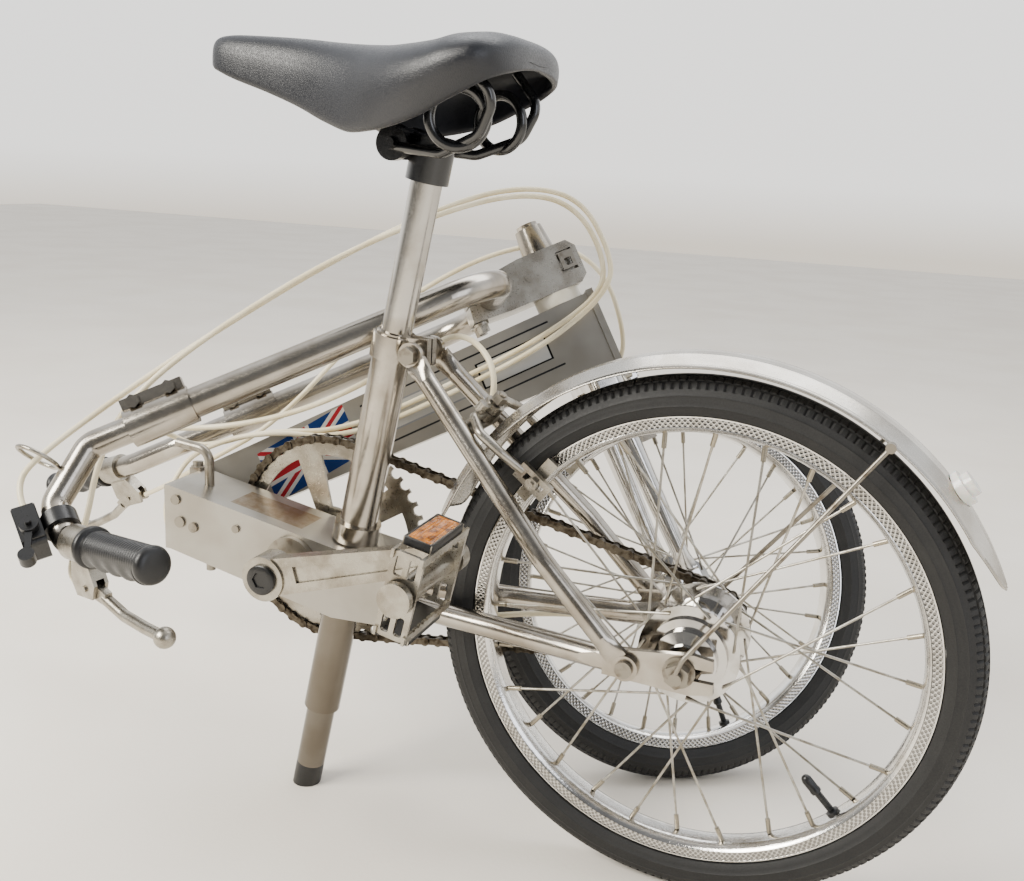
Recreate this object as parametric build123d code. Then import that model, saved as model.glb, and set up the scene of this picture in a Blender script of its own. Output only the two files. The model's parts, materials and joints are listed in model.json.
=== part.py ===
from build123d import *
import os
from math import acos, asin, atan2, cos, degrees, hypot, pi, radians, sin, sqrt, tan

# Folding bicycle in its folded state, in millimetres.
# Bike frame: +X to the rear of the rear half, +Z up, the rear wheel's plane is Y = 0.
# The left side (near side) is -Y; the drive side is +Y.  The floor is Z = 0.

# ---------------------------------------------------------------- wheels
REAR_TYRE_R = 211.5          # 16 x 1 3/8 tyre, outside radius
FRONT_TYRE_R = 189.0         # 14 x 1 3/8 tyre, outside radius
TYRE_W = 37.0                # tyre section
RIM_W = 26.0
RIM_H = 14.0
TYRE_RIM_CLEAR = 0.05
SPOKE_R = 1.0
REAR_SPOKES = 28
FRONT_SPOKES = 28
NIPPLE_R = 2.0
NIPPLE_L = 12.0
REAR_FLANGE_R = 35.0
REAR_FLANGE_Y = 26.0
REAR_OLN = 110.0             # over-lock-nut width of the rear hub
FRONT_FLANGE_R = 19.0
FRONT_FLANGE_Y = 27.0
FRONT_OLN = 92.0
AXLE_R = 4.75
RUN_CLEAR = 0.05             # radial running clearance of every bearing

# ---------------------------------------------------------------- rear frame
BEAM_W = 60.0
BEAM_FRONT_X = -469.5
BEAM_REAR_X = -252.0
BEAM_FRONT_Z = (216.0, 275.0)
BEAM_KNEE_X = -306.0
BEAM_KNEE_Z = (182.0, 245.0)
BEAM_REAR_Z = (184.0, 237.0)
BEAM_WALL = 3.0
END_PLATE_T = 5.0
BB_X, BB_Z = -343.5, 226.0
BB_SHELL_R = 20.0
BB_CUP_T = 6.0
PILLAR_LEAN = 10.7           # degrees from vertical, leaning to the rear
FOOT_X = -346.0
PILLAR_R = 12.7
SLEEVE_R = 15.9
SLEEVE_CLEAR = 0.08
SLEEVE_BOTTOM = 82.0         # distances along the pillar from the floor
SLEEVE_TOP = 436.0
PILLAR_TOP = 590.0
STAY_R = 8.0
STAY_TOP_Y = 21.0
STAY_EYE_X = -40.0
STAY_EYE_Y = 62.5            # the stays sit on the outer faces of the dropouts
STAY_KNEE_Y = 60.5
STAY_KNEE_UP = 100.0
CHAIN_STAY_R = 9.5
DROPOUT_T = 5.0
MUDGUARD_R = 229.0
MUDGUARD_HALF_W = 26.0
MUDGUARD_SAG = 9.0
MUDGUARD_T = 1.4
MUDGUARD_ANGLES = (22.0, 161.0)
LOCK_ROD_R = 4.2
LOCK_ROD_X = -448.0

# ---------------------------------------------------------------- drive
PITCH = 12.7
RING_TEETH = 46
SPROCKET_TEETH = 16
CHAIN_LINE = 39.0
ROLLER_R = 3.9
TOOTH_T = 2.6
CRANK_LEN = 170.0
CRANK_ANGLE = 15.8           # left crank above the horizontal, pointing to the rear
CRANK_IN_Y = 62.0
CRANK_T = 13.0
SPINDLE_R = 8.4
PEDAL_LEN = 84.0
PEDAL_HALF = 36.0
PEDAL_BARREL_R = 9.2
PEDAL_BAR_W = 6.5

# ---------------------------------------------------------------- fold
RIDE_LEAN = 20.5             # steering axis from vertical when ridden, in the rear frame's terms
FOLD_ANGLE = 159.15
HINGE = Vector(-482.2, 29.5, 246.0)
HINGE_AXIS = Vector(-0.072, 0.114, 0.991).normalized()
HINGE_FWD = -388.0           # the hinge seen from the front wheel's centre, in the front frame's terms
HINGE_SIDE = -HINGE.Y
HINGE_PIN_R = 4.0
HINGE_BARREL_R = 6.5
HINGE_HALF_L = 30.0
KNUCKLE_HALF = 11.5
HINGE_SETBACK = 7.7          # from the hinge axis to each end plate
FOLDED_STEER = 7.2           # the fork's turn in the head when folded, degrees

# ---------------------------------------------------------------- front frame and fork
FBEAM_W = 52.0
FBEAM_HEAD_H = 72.0
FBEAM_HINGE_H = 57.0
FBEAM_MID = 254.0            # height of the beam's centre line above the wheel centre, along the steerer
FBEAM_NOSE = 28.0
FBEAM_WALL = 3.0
HEAD_R = 21.0
STEERER_R = 12.7
HEAD_BORE_R = 14.3
WASHER_R = 23.0
CROWN_BOTTOM = 191.5
BLADE_TOP_Y = 38.0
BLADE_R = 11.5
STEM_BOTTOM, STEM_TOP = 302.0, 345.0
STEM_HALF_W = 22.0
BAR_R = 12.7
BAR_X, BAR_Z = -63.0, 321.0
BAR_HALF_W = 125.0
BAR_NEAR_END, BAR_FAR_END = -368.0, -318.0
BAR_BEND = 50.0
HANDLE_R = 11.1
CAP_TOP = 371.0

CABLE_R = 2.5


# ================================================================ helpers
def rod(a, b, r):
    """Round bar from point a to point b."""
    a, b = Vector(*a), Vector(*b)
    d = b - a
    return extrude(Plane(origin=a, z_dir=d) * Circle(r), amount=d.length)


def pipe(a, b, r_out, r_in):
    """Round tube from point a to point b."""
    a, b = Vector(*a), Vector(*b)
    d = b - a
    return extrude(Plane(origin=a, z_dir=d) * (Circle(r_out) - Circle(r_in)), amount=d.length)


def bent_rod(points, r, bend):
    """Round bar along straight runs joined by tangent arcs."""
    path = FilletPolyline(*points, radius=bend)
    return sweep(Plane(origin=path @ 0, z_dir=path % 0) * Circle(r), path=path)


def turned(profile):
    """Solid of revolution about Z from (radius, height) points."""
    return revolve(Plane.XZ * Polygon(*profile, align=None), axis=Axis.Z)


def slab(points, y0, y1):
    """Plate with an outline in X and Z, between two Y values."""
    face = Plane(origin=(0, y0, 0), x_dir=(1, 0, 0), z_dir=(0, 1, 0)) * Polygon(
        *[(x, -z) for x, z in points], align=None
    )
    return extrude(face, amount=y1 - y0, dir=(0, 1, 0))


def block(x0, x1, y0, y1, z0, z1):
    """Box between two corners."""
    return Pos((x0 + x1) / 2, (y0 + y1) / 2, (z0 + z1) / 2) * Box(x1 - x0, y1 - y0, z1 - z0)


def across_y(shape, x, y, z):
    """Put a shape turned about Z so that its axis lies along +Y through (x, y, z)."""
    return Plane(origin=(x, y, z), x_dir=(1, 0, 0), z_dir=(0, 1, 0)).location * shape


def hexagon(across_flats, height):
    """Hexagonal nut or bolt head standing on Z = 0."""
    return extrude(RegularPolygon(across_flats / sqrt(3), 6), amount=height)


def group(*shapes):
    """Several separate solids kept as one node."""
    solids = []
    for shape in shapes:
        solids += [s for one in (shape if isinstance(shape, list) else [shape]) for s in one.solids()]
    return solids[0] if len(solids) == 1 else Compound(solids)


# ================================================================ placing
def hinge_turn(point, angle, free_vector=False):
    """Turn a point, or a direction, about the fold hinge."""
    if free_vector:
        return point.rotate(Axis((0, 0, 0), HINGE_AXIS), angle)
    return HINGE + (point - HINGE).rotate(Axis((0, 0, 0), HINGE_AXIS), angle)


RIDE_FWD = Vector(-cos(radians(RIDE_LEAN)), 0, sin(radians(RIDE_LEAN)))
RIDE_UP = Vector(sin(radians(RIDE_LEAN)), 0, cos(radians(RIDE_LEAN)))
FRONT_FWD = hinge_turn(RIDE_FWD, -FOLD_ANGLE, True)
FRONT_UP = hinge_turn(RIDE_UP, -FOLD_ANGLE, True)
FRONT_SIDE = FRONT_UP.cross(FRONT_FWD)
STEER_FWD = FRONT_FWD.rotate(Axis((0, 0, 0), FRONT_UP), FOLDED_STEER)
STEER_SIDE = FRONT_UP.cross(STEER_FWD)

# The front tyre touches the floor: its lowest point is below the centre by this drop.
TYRE_R = TYRE_W / 2
FRONT_DROP = (FRONT_TYRE_R - TYRE_R) * sqrt(1 - STEER_SIDE.Z**2) + TYRE_R
HINGE_UP = (HINGE.Z - FRONT_DROP - HINGE_FWD * FRONT_FWD.Z - HINGE_SIDE * FRONT_SIDE.Z) / FRONT_UP.Z
FRONT_CENTRE = HINGE - FRONT_FWD * HINGE_FWD - FRONT_SIDE * HINGE_SIDE - FRONT_UP * HINGE_UP
FRONT_FRAME = Plane(origin=FRONT_CENTRE, x_dir=FRONT_FWD, z_dir=FRONT_UP).location
FORK_FRAME = Plane(origin=FRONT_CENTRE, x_dir=STEER_FWD, z_dir=FRONT_UP).location

PILLAR_DIR = Vector(sin(radians(PILLAR_LEAN)), 0, cos(radians(PILLAR_LEAN)))


def on_pillar(distance, side=0.0):
    """Point on the pillar's axis, a distance up from the floor, moved sideways in Y."""
    p = Vector(FOOT_X, 0, 0) + PILLAR_DIR * distance
    return (p.X, side, p.Z)


def in_hinge_frame():
    """Location whose Z runs along the hinge axis and whose X points forward when ridden."""
    ahead = Vector(-1, 0, 0)
    return Plane(origin=HINGE, x_dir=ahead - HINGE_AXIS * ahead.dot(HINGE_AXIS), z_dir=HINGE_AXIS).location


# ================================================================ wheels
def tyre(outer_r):
    """Round tyre that sits on the rim's outer face."""
    seat = outer_r - TYRE_W + 7.5 + TYRE_RIM_CLEAR
    ring = revolve(Plane.XZ * Pos(outer_r - TYRE_R, 0) * Circle(TYRE_R), axis=Axis.Z)
    return ring - Cylinder(seat, TYRE_W + 10)


def rim_outer(outer_r):
    """Radius of the rim's outer face, where the tyre's bead sits."""
    return outer_r - TYRE_W + 7.5


def rim(outer_r):
    """Box-section rim with a braking band on each side."""
    top = rim_outer(outer_r)
    half = RIM_W / 2
    return turned([
        (top, -half), (top, half), (top - RIM_H + 5, half),
        (top - RIM_H, half - 5), (top - RIM_H, 5 - half), (top - RIM_H + 5, -half),
    ])


def spokes(outer_r, count, flange_r, flange_y):
    """Laced spokes with nipples, heads alternating inside and outside each flange."""
    seat = rim_outer(outer_r) - RIM_H
    made = []
    for i in range(count):
        side = 1 if i % 2 else -1
        lean = 1 if (i // 2) % 2 else -1
        at_rim = 2 * pi * i / count
        at_hub = at_rim + lean * radians(62)
        out = 3.1 if lean > 0 else -3.5
        head = Vector(flange_r * cos(at_hub), flange_r * sin(at_hub), side * (flange_y + out))
        tip = Vector(seat * cos(at_rim), seat * sin(at_rim), side * 3.0)
        d = (tip - head).normalized()
        knee = tip - d * NIPPLE_L
        made.append(rod(head, knee, SPOKE_R))
        made.append(rod(knee, (tip - d * 0.4), NIPPLE_R))
    return group(*made)


def rear_hub():
    """Large stepped hub shell of a hub gear."""
    bore = AXLE_R + RUN_CLEAR
    end = REAR_OLN / 2 - 7
    r = REAR_FLANGE_R + 4
    y = REAR_FLANGE_Y
    return turned([
        (bore, -end), (15, -end), (15, -end + 5), (24, -end + 7), (24, -y - 6), (30, -y - 5),
        (30, -y - 1.2),
        (r, -y - 1.2), (r, -y + 1.2), (28, -y + 3), (26, 0), (28, y - 3), (r, y - 1.2), (r, y + 1.2),
        (28, y + 1.2), (26, y + 6), (17, y + 7), (17, CHAIN_LINE - 4.6), (bore, CHAIN_LINE - 4.6),
    ])


def front_hub():
    """Small flanged hub shell."""
    bore = AXLE_R + RUN_CLEAR
    end = FRONT_OLN / 2 - 6
    r = FRONT_FLANGE_R + 3
    y = FRONT_FLANGE_Y
    return turned([
        (bore, -end), (12, -end), (13, -y - 4), (r, -y - 1.2), (r, -y + 1.2), (12, -y + 5), (10, 0),
        (12, y - 5), (r, y - 1.2), (r, y + 1.2), (13, y + 4), (12, end), (bore, end),
    ])


def valve(outer_r, angle):
    """Valve stem with its cap, pointing from the rim to the hub."""
    top = rim_outer(outer_r) - RIM_H
    c, s = cos(radians(angle)), sin(radians(angle))
    stem = rod(((top - 0.2) * c, (top - 0.2) * s, 0), ((top - 22) * c, (top - 22) * s, 0), 3.0)
    cap = rod(((top - 22) * c, (top - 22) * s, 0), ((top - 36) * c, (top - 36) * s, 0), 4.2)
    return stem + cap


# ================================================================ rear frame
def beam_outline():
    """Side outline of the rear beam, in X and Z."""
    return [
        (BEAM_FRONT_X, BEAM_FRONT_Z[0]), (BEAM_FRONT_X, BEAM_FRONT_Z[1]), (BEAM_KNEE_X, BEAM_KNEE_Z[1]),
        (BEAM_REAR_X, BEAM_REAR_Z[1]), (BEAM_REAR_X, BEAM_REAR_Z[0]), (BEAM_KNEE_X, BEAM_KNEE_Z[0]),
    ]


def rear_beam():
    """Box beam with holes for the bottom bracket, the pillar sleeve and the lock rod."""
    half = BEAM_W / 2
    outer = slab(beam_outline(), -half, half)
    inner = outer.intersect(slab(offset_outline(beam_outline(), BEAM_WALL), BEAM_WALL - half,
        half - BEAM_WALL))
    shell = outer - inner
    shell -= rod((BB_X, -half - 1, BB_Z), (BB_X, half + 1, BB_Z), BB_SHELL_R)
    shell -= rod(on_pillar(SLEEVE_BOTTOM), on_pillar(SLEEVE_TOP), SLEEVE_R)
    shell -= rod((LOCK_ROD_X, 0, 150), (LOCK_ROD_X, 0, 330), LOCK_ROD_R + RUN_CLEAR)
    return shell


def offset_outline(points, wall):
    """Convex outline with every side moved inwards by a wall."""
    middle = Vector(sum(p[0] for p in points) / len(points), sum(p[1] for p in points) / len(points))
    sides = []
    for i, p in enumerate(points):
        start, end = Vector(*points[i - 1]), Vector(*p)
        along = (end - start).normalized()
        inwards = Vector(-along.Y, along.X)
        if inwards.dot(middle - start) < 0:
            inwards = inwards * -1
        sides.append((start + inwards * wall, along))
    corners = []
    for i, (start, along) in enumerate(sides):
        other, other_along = sides[(i + 1) % len(sides)]
        gap = other - start
        across = along.X * other_along.Y - along.Y * other_along.X
        step = (gap.X * other_along.Y - gap.Y * other_along.X) / across
        corner = start + along * step
        corners.append((corner.X, corner.Y))
    return corners


def beam_end_plate():
    """Plate that closes the front end of the rear beam."""
    z0, z1 = BEAM_FRONT_Z
    plate = block(BEAM_FRONT_X - END_PLATE_T, BEAM_FRONT_X, -BEAM_W / 2, BEAM_W / 2, z0, z1)
    relief = Pos(BEAM_FRONT_X - END_PLATE_T, BEAM_W / 2, 240) * Rot(0, 0, 45) * Box(7.0, 7.0, 200)
    return plate - relief


def bottom_bracket():
    """Bearing tube through the beam, with a flanged cup on each side."""
    half = BEAM_W / 2
    tube = pipe((BB_X, -half - BB_CUP_T, BB_Z), (BB_X, half + BB_CUP_T, BB_Z), BB_SHELL_R,
        SPINDLE_R + RUN_CLEAR)
    for side in (-1, 1):
        tube += pipe((BB_X, side * half, BB_Z), (BB_X, side * (half + BB_CUP_T), BB_Z),
                     BB_SHELL_R + 3, SPINDLE_R + RUN_CLEAR)
    return tube


def pillar_sleeve():
    """Long guide tube for the pillar, with a clamp lug at its top."""
    tube = rod(on_pillar(SLEEVE_BOTTOM), on_pillar(SLEEVE_TOP), SLEEVE_R)
    lug = rod(on_pillar(SLEEVE_TOP - 22), on_pillar(SLEEVE_TOP - 2), SLEEVE_R + 2.6)
    x, _, z = on_pillar(SLEEVE_TOP - 12)
    ear = block(x + 8, x + 34, -9.0, 9.0, z - 13, z + 9)
    bore = rod(on_pillar(0), on_pillar(SLEEVE_TOP + 20), PILLAR_R + SLEEVE_CLEAR)
    bolt_x, bolt_z = stay_bolt_at()
    slot = block(x, x + 60, -1.2, 1.2, z - 20, z + 30)
    hole = rod((bolt_x, -20, bolt_z), (bolt_x, 20, bolt_z), 4.2)
    return tube + lug + ear - bore - slot - hole


def stay_bolt_at():
    """Where the clamp bolt crosses the lug behind the sleeve, in X and Z."""
    x, _, z = on_pillar(SLEEVE_TOP - 12)
    return x + SLEEVE_R + 9.5, z - 2


def sleeve_collar():
    """Raised ring where the sleeve leaves the beam's top face."""
    a = (BEAM_FRONT_Z[1] - 11.5 - 18) / cos(radians(PILLAR_LEAN))
    ring = pipe(on_pillar(a), on_pillar(a + 16), SLEEVE_R + 4, SLEEVE_R + 0.02)
    return ring - slab(beam_outline(), -BEAM_W, BEAM_W)


def stay_bolt():
    """Bolt, washers and nuts through the two stays and the sleeve's lug."""
    x, z = stay_bolt_at()
    made = rod((x, -STAY_TOP_Y - 8, z), (x, STAY_TOP_Y + 8, z), 4.0)
    for side in (-1, 1):
        made += rod((x, side * 9.03, z), (x, side * (STAY_TOP_Y - 2.53), z), 7.0)
        y = side * (STAY_TOP_Y + 2.6)
        made += rod((x, y, z), (x, y + side * 1.6, z), 7.5)
        made += Plane(origin=(x, y + side * 1.6, z), z_dir=(0, side, 0)).location * hexagon(13.0, 5.5)
    return made


def stay_ends(side):
    """Clamp bolt, knee and dropout eye of one seat stay."""
    x, z = stay_bolt_at()
    top, low = Vector(x, side * STAY_TOP_Y, z), Vector(STAY_EYE_X, side * STAY_EYE_Y, REAR_TYRE_R - 4)
    flat = Vector(low.X - top.X, 0, low.Z - top.Z).normalized()
    knee = Vector(low.X, side * STAY_KNEE_Y, low.Z) - flat * STAY_KNEE_UP
    return top, knee, low


def seat_stay(side):
    """Tube bent once, with flattened, drilled ends; it bows out round the chain."""
    a, knee, b = stay_ends(side)
    d, e = (knee - a).normalized(), (b - knee).normalized()
    start, end = a + d * 26, b - e * 28
    tube = bent_rod([start, knee, end], STAY_R, 60.0)
    neck_a = loft([Plane(origin=a + d * 8, z_dir=d, x_dir=(0, 1, 0)) * Rectangle(5.0, 18),
                   Plane(origin=start, z_dir=d, x_dir=(0, 1, 0)) * Circle(STAY_R)])
    neck_b = loft([Plane(origin=end, z_dir=e, x_dir=(0, 1, 0)) * Circle(STAY_R),
                   Plane(origin=b - e * 8, z_dir=e, x_dir=(0, 1, 0)) * Rectangle(4.6, 17)])
    eye_a = rod((a.X, a.Y - 2.5, a.Z), (a.X, a.Y + 2.5, a.Z), 10.0)
    eye_b = rod((b.X, b.Y - 2.5, b.Z), (b.X, b.Y + 2.5, b.Z), 10.0)
    link_a, link_b = rod(a, a + d * 9, 2.4), rod(b - e * 9, b, 2.2)
    made = tube + neck_a + neck_b + eye_a + eye_b + link_a + link_b
    made -= rod((a.X, a.Y - 5, a.Z), (a.X, a.Y + 5, a.Z), 4.1)
    made -= rod((b.X, b.Y - 5, b.Z), (b.X, b.Y + 5, b.Z), 3.1)
    made -= rod((a.X, a.Y + side * 2.53, a.Z), (a.X, a.Y + side * 14, a.Z), 9.0)
    made -= rod((a.X, a.Y - side * 14, a.Z), (a.X, a.Y - side * 2.5, a.Z), 9.0)
    far = side * (STAY_EYE_Y - 2.5)
    return made - block(b.X - 22, b.X + 30, *sorted((far, 0)), b.Z - 40, b.Z + 17)


def chain_stay(side):
    """Fat tube from the beam's rear end, flattened against the dropout."""
    a = Vector(BEAM_REAR_X, side * (BEAM_W / 2 - CHAIN_STAY_R), 205.0)
    b = Vector(-66.0, side * 47.5, 205.5)
    d = (b - a).normalized()
    tube = rod(a - d * 20, b, CHAIN_STAY_R)
    c = Vector(STAY_EYE_X + 8, side * 52.4, REAR_TYRE_R - 4)
    neck = loft([Plane(origin=b, z_dir=d, x_dir=(0, 1, 0)) * Circle(CHAIN_STAY_R),
                 Plane(origin=c, z_dir=(1, 0, 0), x_dir=(0, 1, 0)) * Rectangle(5.0, 24)])
    hole = rod((STAY_EYE_X, side * 40, c.Z), (STAY_EYE_X, side * 60, c.Z), 3.1)
    face = side * REAR_OLN / 2
    made = tube + neck - hole - block(BEAM_REAR_X - 40, BEAM_REAR_X, -60, 60, 150, 260)
    return made - block(-90, 0, *sorted((face, face + side * 20)), 150, 260)


def dropout(side):
    """Slotted end plate that holds the rear axle; the slot opens to the rear."""
    y0, y1 = sorted((side * REAR_OLN / 2, side * (REAR_OLN / 2 + DROPOUT_T)))
    z = REAR_TYRE_R
    plate = slab([(-58, z - 14), (-58, z + 4), (-40, z + 9), (10, z + 15), (24, z + 13), (26, z - 13),
        (8, z - 17)],
                 y0, y1)
    slot = block(0, 40, y0 - 1, y1 + 1, z - AXLE_R - 0.15, z + AXLE_R + 0.15)
    slot += rod((0, y0 - 1, z), (0, y1 + 1, z), AXLE_R + 0.15)
    hole = rod((STAY_EYE_X, y0 - 1, z - 4), (STAY_EYE_X, y1 + 1, z - 4), 3.1)
    return plate - slot - hole


def dropout_screws():
    """Screws that join each stay to its dropout."""
    made = []
    for side in (-1, 1):
        x, y, z = stay_ends(side)[2]
        shank = rod((x, side * 50.4, z), (x, y + side * 2.5, z), 3.0)
        made.append(shank + rod((x, y + side * 2.55, z), (x, y + side * 6.0, z), 6.5))
    return group(*made)


def rear_axle():
    """Axle with its cones, washers and nuts, held in the dropouts."""
    z = REAR_TYRE_R
    half = REAR_OLN / 2
    axle = rod((0, -half - 20, z), (0, half + 26, z), AXLE_R)
    for side in (-1, 1):
        y = side * half
        axle += rod((0, y - side * 5.5, z), (0, y - side * 0.02, z), 9.0)
        y += side * (DROPOUT_T + 0.02)
        axle += rod((0, y, z), (0, y + side * 2, z), 12.0)
        axle += Plane(origin=(0, y + side * 2, z), z_dir=(0, side, 0)).location * hexagon(17.0, 8.0)
    return axle


def polar(r, angle, y=0.0):
    """Point around the rear axle, at a radius and an angle from +X."""
    return (r * cos(radians(angle)), y, REAR_TYRE_R + r * sin(radians(angle)))


def mudguard():
    """Curved blade over the rear wheel, with a flared tail."""
    a0, a1 = MUDGUARD_ANGLES
    w, sag, t = MUDGUARD_HALF_W, MUDGUARD_SAG, MUDGUARD_T
    outer = ThreePointArc((MUDGUARD_R - sag, -w), (MUDGUARD_R, 0), (MUDGUARD_R - sag, w))
    inner = ThreePointArc((MUDGUARD_R - sag - t, w - 0.4), (MUDGUARD_R - t, 0),
        (MUDGUARD_R - sag - t, 0.4 - w))
    face = make_face(Curve() + [outer, Line(outer @ 1, inner @ 0), inner, Line(inner @ 1, outer @ 0)])
    start = Plane(origin=(0, 0, REAR_TYRE_R), x_dir=(cos(radians(a0)), 0, sin(radians(a0))),
                  z_dir=(sin(radians(a0)), 0, -cos(radians(a0))))
    axis = Axis((0, 0, REAR_TYRE_R), (0, -1, 0))
    return revolve(start * face, axis=axis, revolution_arc=a1 - a0) + (mudguard_clip() - mudguard_block())


def mudguard_stays():
    """Wire stays from the axle ends to the mudguard's edges, each with its bolt."""
    made = []
    for side in (-1, 1):
        y = side * (REAR_OLN / 2 + DROPOUT_T + 14.0)
        foot = (0.0, y, REAR_TYRE_R + AXLE_R - 0.05)
        knee = (4.0, y, REAR_TYRE_R + 16.0)
        top = polar(MUDGUARD_R - MUDGUARD_SAG - 1.5, 55.5, side * (MUDGUARD_HALF_W + 4.0))
        wire = bent_rod([foot, knee, top], 1.8, 8.0)
        bolt = rod((top[0], side * MUDGUARD_HALF_W, top[2]),
            (top[0], side * (MUDGUARD_HALF_W + 7.0), top[2]), 3.6)
        made.append(wire + bolt)
    return group(*made)


def rear_reflector():
    """Round lamp body on the mudguard with a domed lens."""
    r0 = MUDGUARD_R - 0.6
    body = rod(polar(r0 - 6, 41), polar(r0 + 5, 41), 13.0)
    dome = rod(polar(r0 + 5, 41), polar(r0 + 11, 41), 9.0)
    return body + dome - mudguard_block()


def mudguard_block():
    """Everything inside the mudguard's outer face."""
    w, sag = MUDGUARD_HALF_W, MUDGUARD_SAG
    arc = ThreePointArc((MUDGUARD_R - sag, -w), (MUDGUARD_R, 0), (MUDGUARD_R - sag, w))
    face = make_face(Curve() + [arc, Polyline(arc @ 1, (100, w), (100, -w), arc @ 0)])
    return Plane(origin=(0, 0, REAR_TYRE_R), x_dir=(1, 0, 0), z_dir=(0, 1, 0)).location * revolve(
        Plane.XZ * face, axis=Axis.Z)


def mudguard_clip():
    """Bracket that hangs the mudguard from the brake bridge."""
    mid, out, _ = rear_brake_axes()
    clip = rod(mid - out * 16, mid + out * 1, 7.0)
    return clip - rod(mid - Vector(0, 80, 0), mid + Vector(0, 80, 0), 6.5) - rear_brake_bolt_hole()


def stay_point_at_bridge(side):
    """Point on a seat stay where the bridge meets it."""
    top, knee, _ = stay_ends(side)
    return top + (knee - top) * 0.39


def brake_bridge():
    """Cross piece between the seat stays that carries the mudguard and the brake bolt."""
    p, q = stay_point_at_bridge(-1), stay_point_at_bridge(1)
    bar = rod(p, q, 6.5)
    for side in (-1, 1):
        top, knee, _ = stay_ends(side)
        bar -= rod(top, knee, STAY_R)
    bar -= rear_brake_bolt_hole()
    return bar


def rear_brake_bolt_hole():
    """Hole along the brake bolt through the bridge."""
    p, out, along = rear_brake_axes()
    return rod((p - along * 60), (p + along * 60), 3.1)


def rear_brake_axes():
    """Pivot point, outward direction and bolt direction of the rear brake."""
    mid = stay_point_at_bridge(1)
    centre = Vector(mid.X, 0, mid.Z - REAR_TYRE_R)
    angle = degrees(atan2(centre.Z, centre.X))
    c, s = cos(radians(angle)), sin(radians(angle))
    return Vector(mid.X, 0, mid.Z), Vector(c, 0, s), Vector(s, 0, -c)


# ================================================================ brakes
ARM_R = 3.9
SHOE_GAP = 2.4
FRONT_BRAKE_Z = CROWN_BOTTOM + 9


def brake_frame(pivot, out, along):
    """Location with X along the brake bolt, Z outwards from the wheel."""
    return Plane(origin=pivot, x_dir=along, z_dir=out).location


def brake_arm(side, reach_to_rim, layer):
    """One curved side-pull arm with its slotted end, in the brake's own frame."""
    x = 12.0 + layer * 8.0
    points = [(x, 0, 0), (x, side * 24, 2), (x, side * 38, -12), (x, side * 36, -34),
        (x, side * 30.5, 12 - reach_to_rim)]
    arm = bent_rod(points, ARM_R, 7.0)
    boss = rod((x - 3.6, 0, 0), (x + 3.6, 0, 0), 8.5)
    tail = rod((x, 0, 0), (x, -side * 17, 3.5), 3.5)
    tail += rod((x - 3.9, -side * 17, 3.5), (x + 3.9, -side * 17, 3.5), 4.6)
    end = block(x - 7, x + 7, side * 30.5 - 3, side * 30.5 + 3, -reach_to_rim - 14, 16 - reach_to_rim)
    slot = block(x - 2.7, x + 2.7, side * 30.5 - 5, side * 30.5 + 5, -reach_to_rim - 9, 9 - reach_to_rim)
    hole = rod((x - 12, 0, 0), (x + 12, 0, 0), 3.0 + RUN_CLEAR)
    return arm + boss + tail + end - slot - hole


def brake_shoe(side, reach_to_rim, layer, centre):
    """Pad, holder and stud that ride with one arm."""
    x = 12.0 + layer * 8.0
    face = RIM_W / 2 + SHOE_GAP
    pad = block(centre - 18, centre + 18, *sorted((side * face, side * (face + 7))), -reach_to_rim - 4,
        4 - reach_to_rim)
    holder = block(centre - 20, centre + 20, *sorted((side * (face + 7), side * (face + 9))),
        -reach_to_rim - 5, 5 - reach_to_rim)
    stud = rod((x, side * (face + 9), -reach_to_rim), (x, side * 42, -reach_to_rim), 2.6)
    nut = Plane(origin=(x, side * 33.6, -reach_to_rim), z_dir=(0, side, 0)).location * hexagon(9.0, 5.0)
    return pad, holder + stud + nut


def brake_bolt(back):
    """Pivot bolt with spacer and nut, in the brake's own frame."""
    bolt = rod((-back, 0, 0), (34, 0, 0), 3.0)
    nut = Plane(origin=(25.0, 0, 0), z_dir=(1, 0, 0)).location * hexagon(10.0, 7.0)
    spacer = rod((7.0, 0, 0), (8.05, 0, 0), 7.0)
    return bolt + nut + spacer


# ================================================================ drive
def chain_path():
    """Roller centres round ring and sprocket, and where the tangents meet each."""
    ring_r = PITCH / (2 * sin(pi / RING_TEETH))
    cog_r = PITCH / (2 * sin(pi / SPROCKET_TEETH))
    dx, dz = -BB_X, REAR_TYRE_R - BB_Z
    dist = hypot(dx, dz)
    base = atan2(dz, dx)
    tilt = acos((ring_r - cog_r) / dist)
    return ring_r, cog_r, base, tilt


def ring_rollers():
    """Roller centres that lie on the chainring, with the phase that both ends share."""
    ring_r, cog_r, base, tilt = chain_path()
    step = 2 * pi / RING_TEETH
    first, last = base + tilt, base - tilt + 2 * pi
    count = int((last - first) / step)
    start = (first + last) / 2 - step * count / 2
    return [(ring_r, start + step * i) for i in range(count + 1)]


def cog_rollers():
    """Roller centres that lie on the rear sprocket."""
    ring_r, cog_r, base, tilt = chain_path()
    step = 2 * pi / SPROCKET_TEETH
    first, last = base - tilt, base + tilt
    count = int((last - first) / step)
    start = (first + last) / 2 - step * count / 2
    return [(cog_r, start + step * i) for i in range(count + 1)]


def roller_points():
    """Every roller centre in X and Z, in order round the chain."""
    ring = [(BB_X + r * cos(a), BB_Z + r * sin(a)) for r, a in ring_rollers()]
    cog = [(r * cos(a), REAR_TYRE_R + r * sin(a)) for r, a in cog_rollers()]
    loop = []
    for arc, following in ((ring, cog), (cog, ring)):
        loop += arc
        (x0, z0), (x1, z1) = arc[-1], following[0]
        links = round(hypot(x1 - x0, z1 - z0) / PITCH)
        loop += [(x0 + (x1 - x0) * i / links, z0 + (z1 - z0) * i / links) for i in range(1, links)]
    return loop


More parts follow.
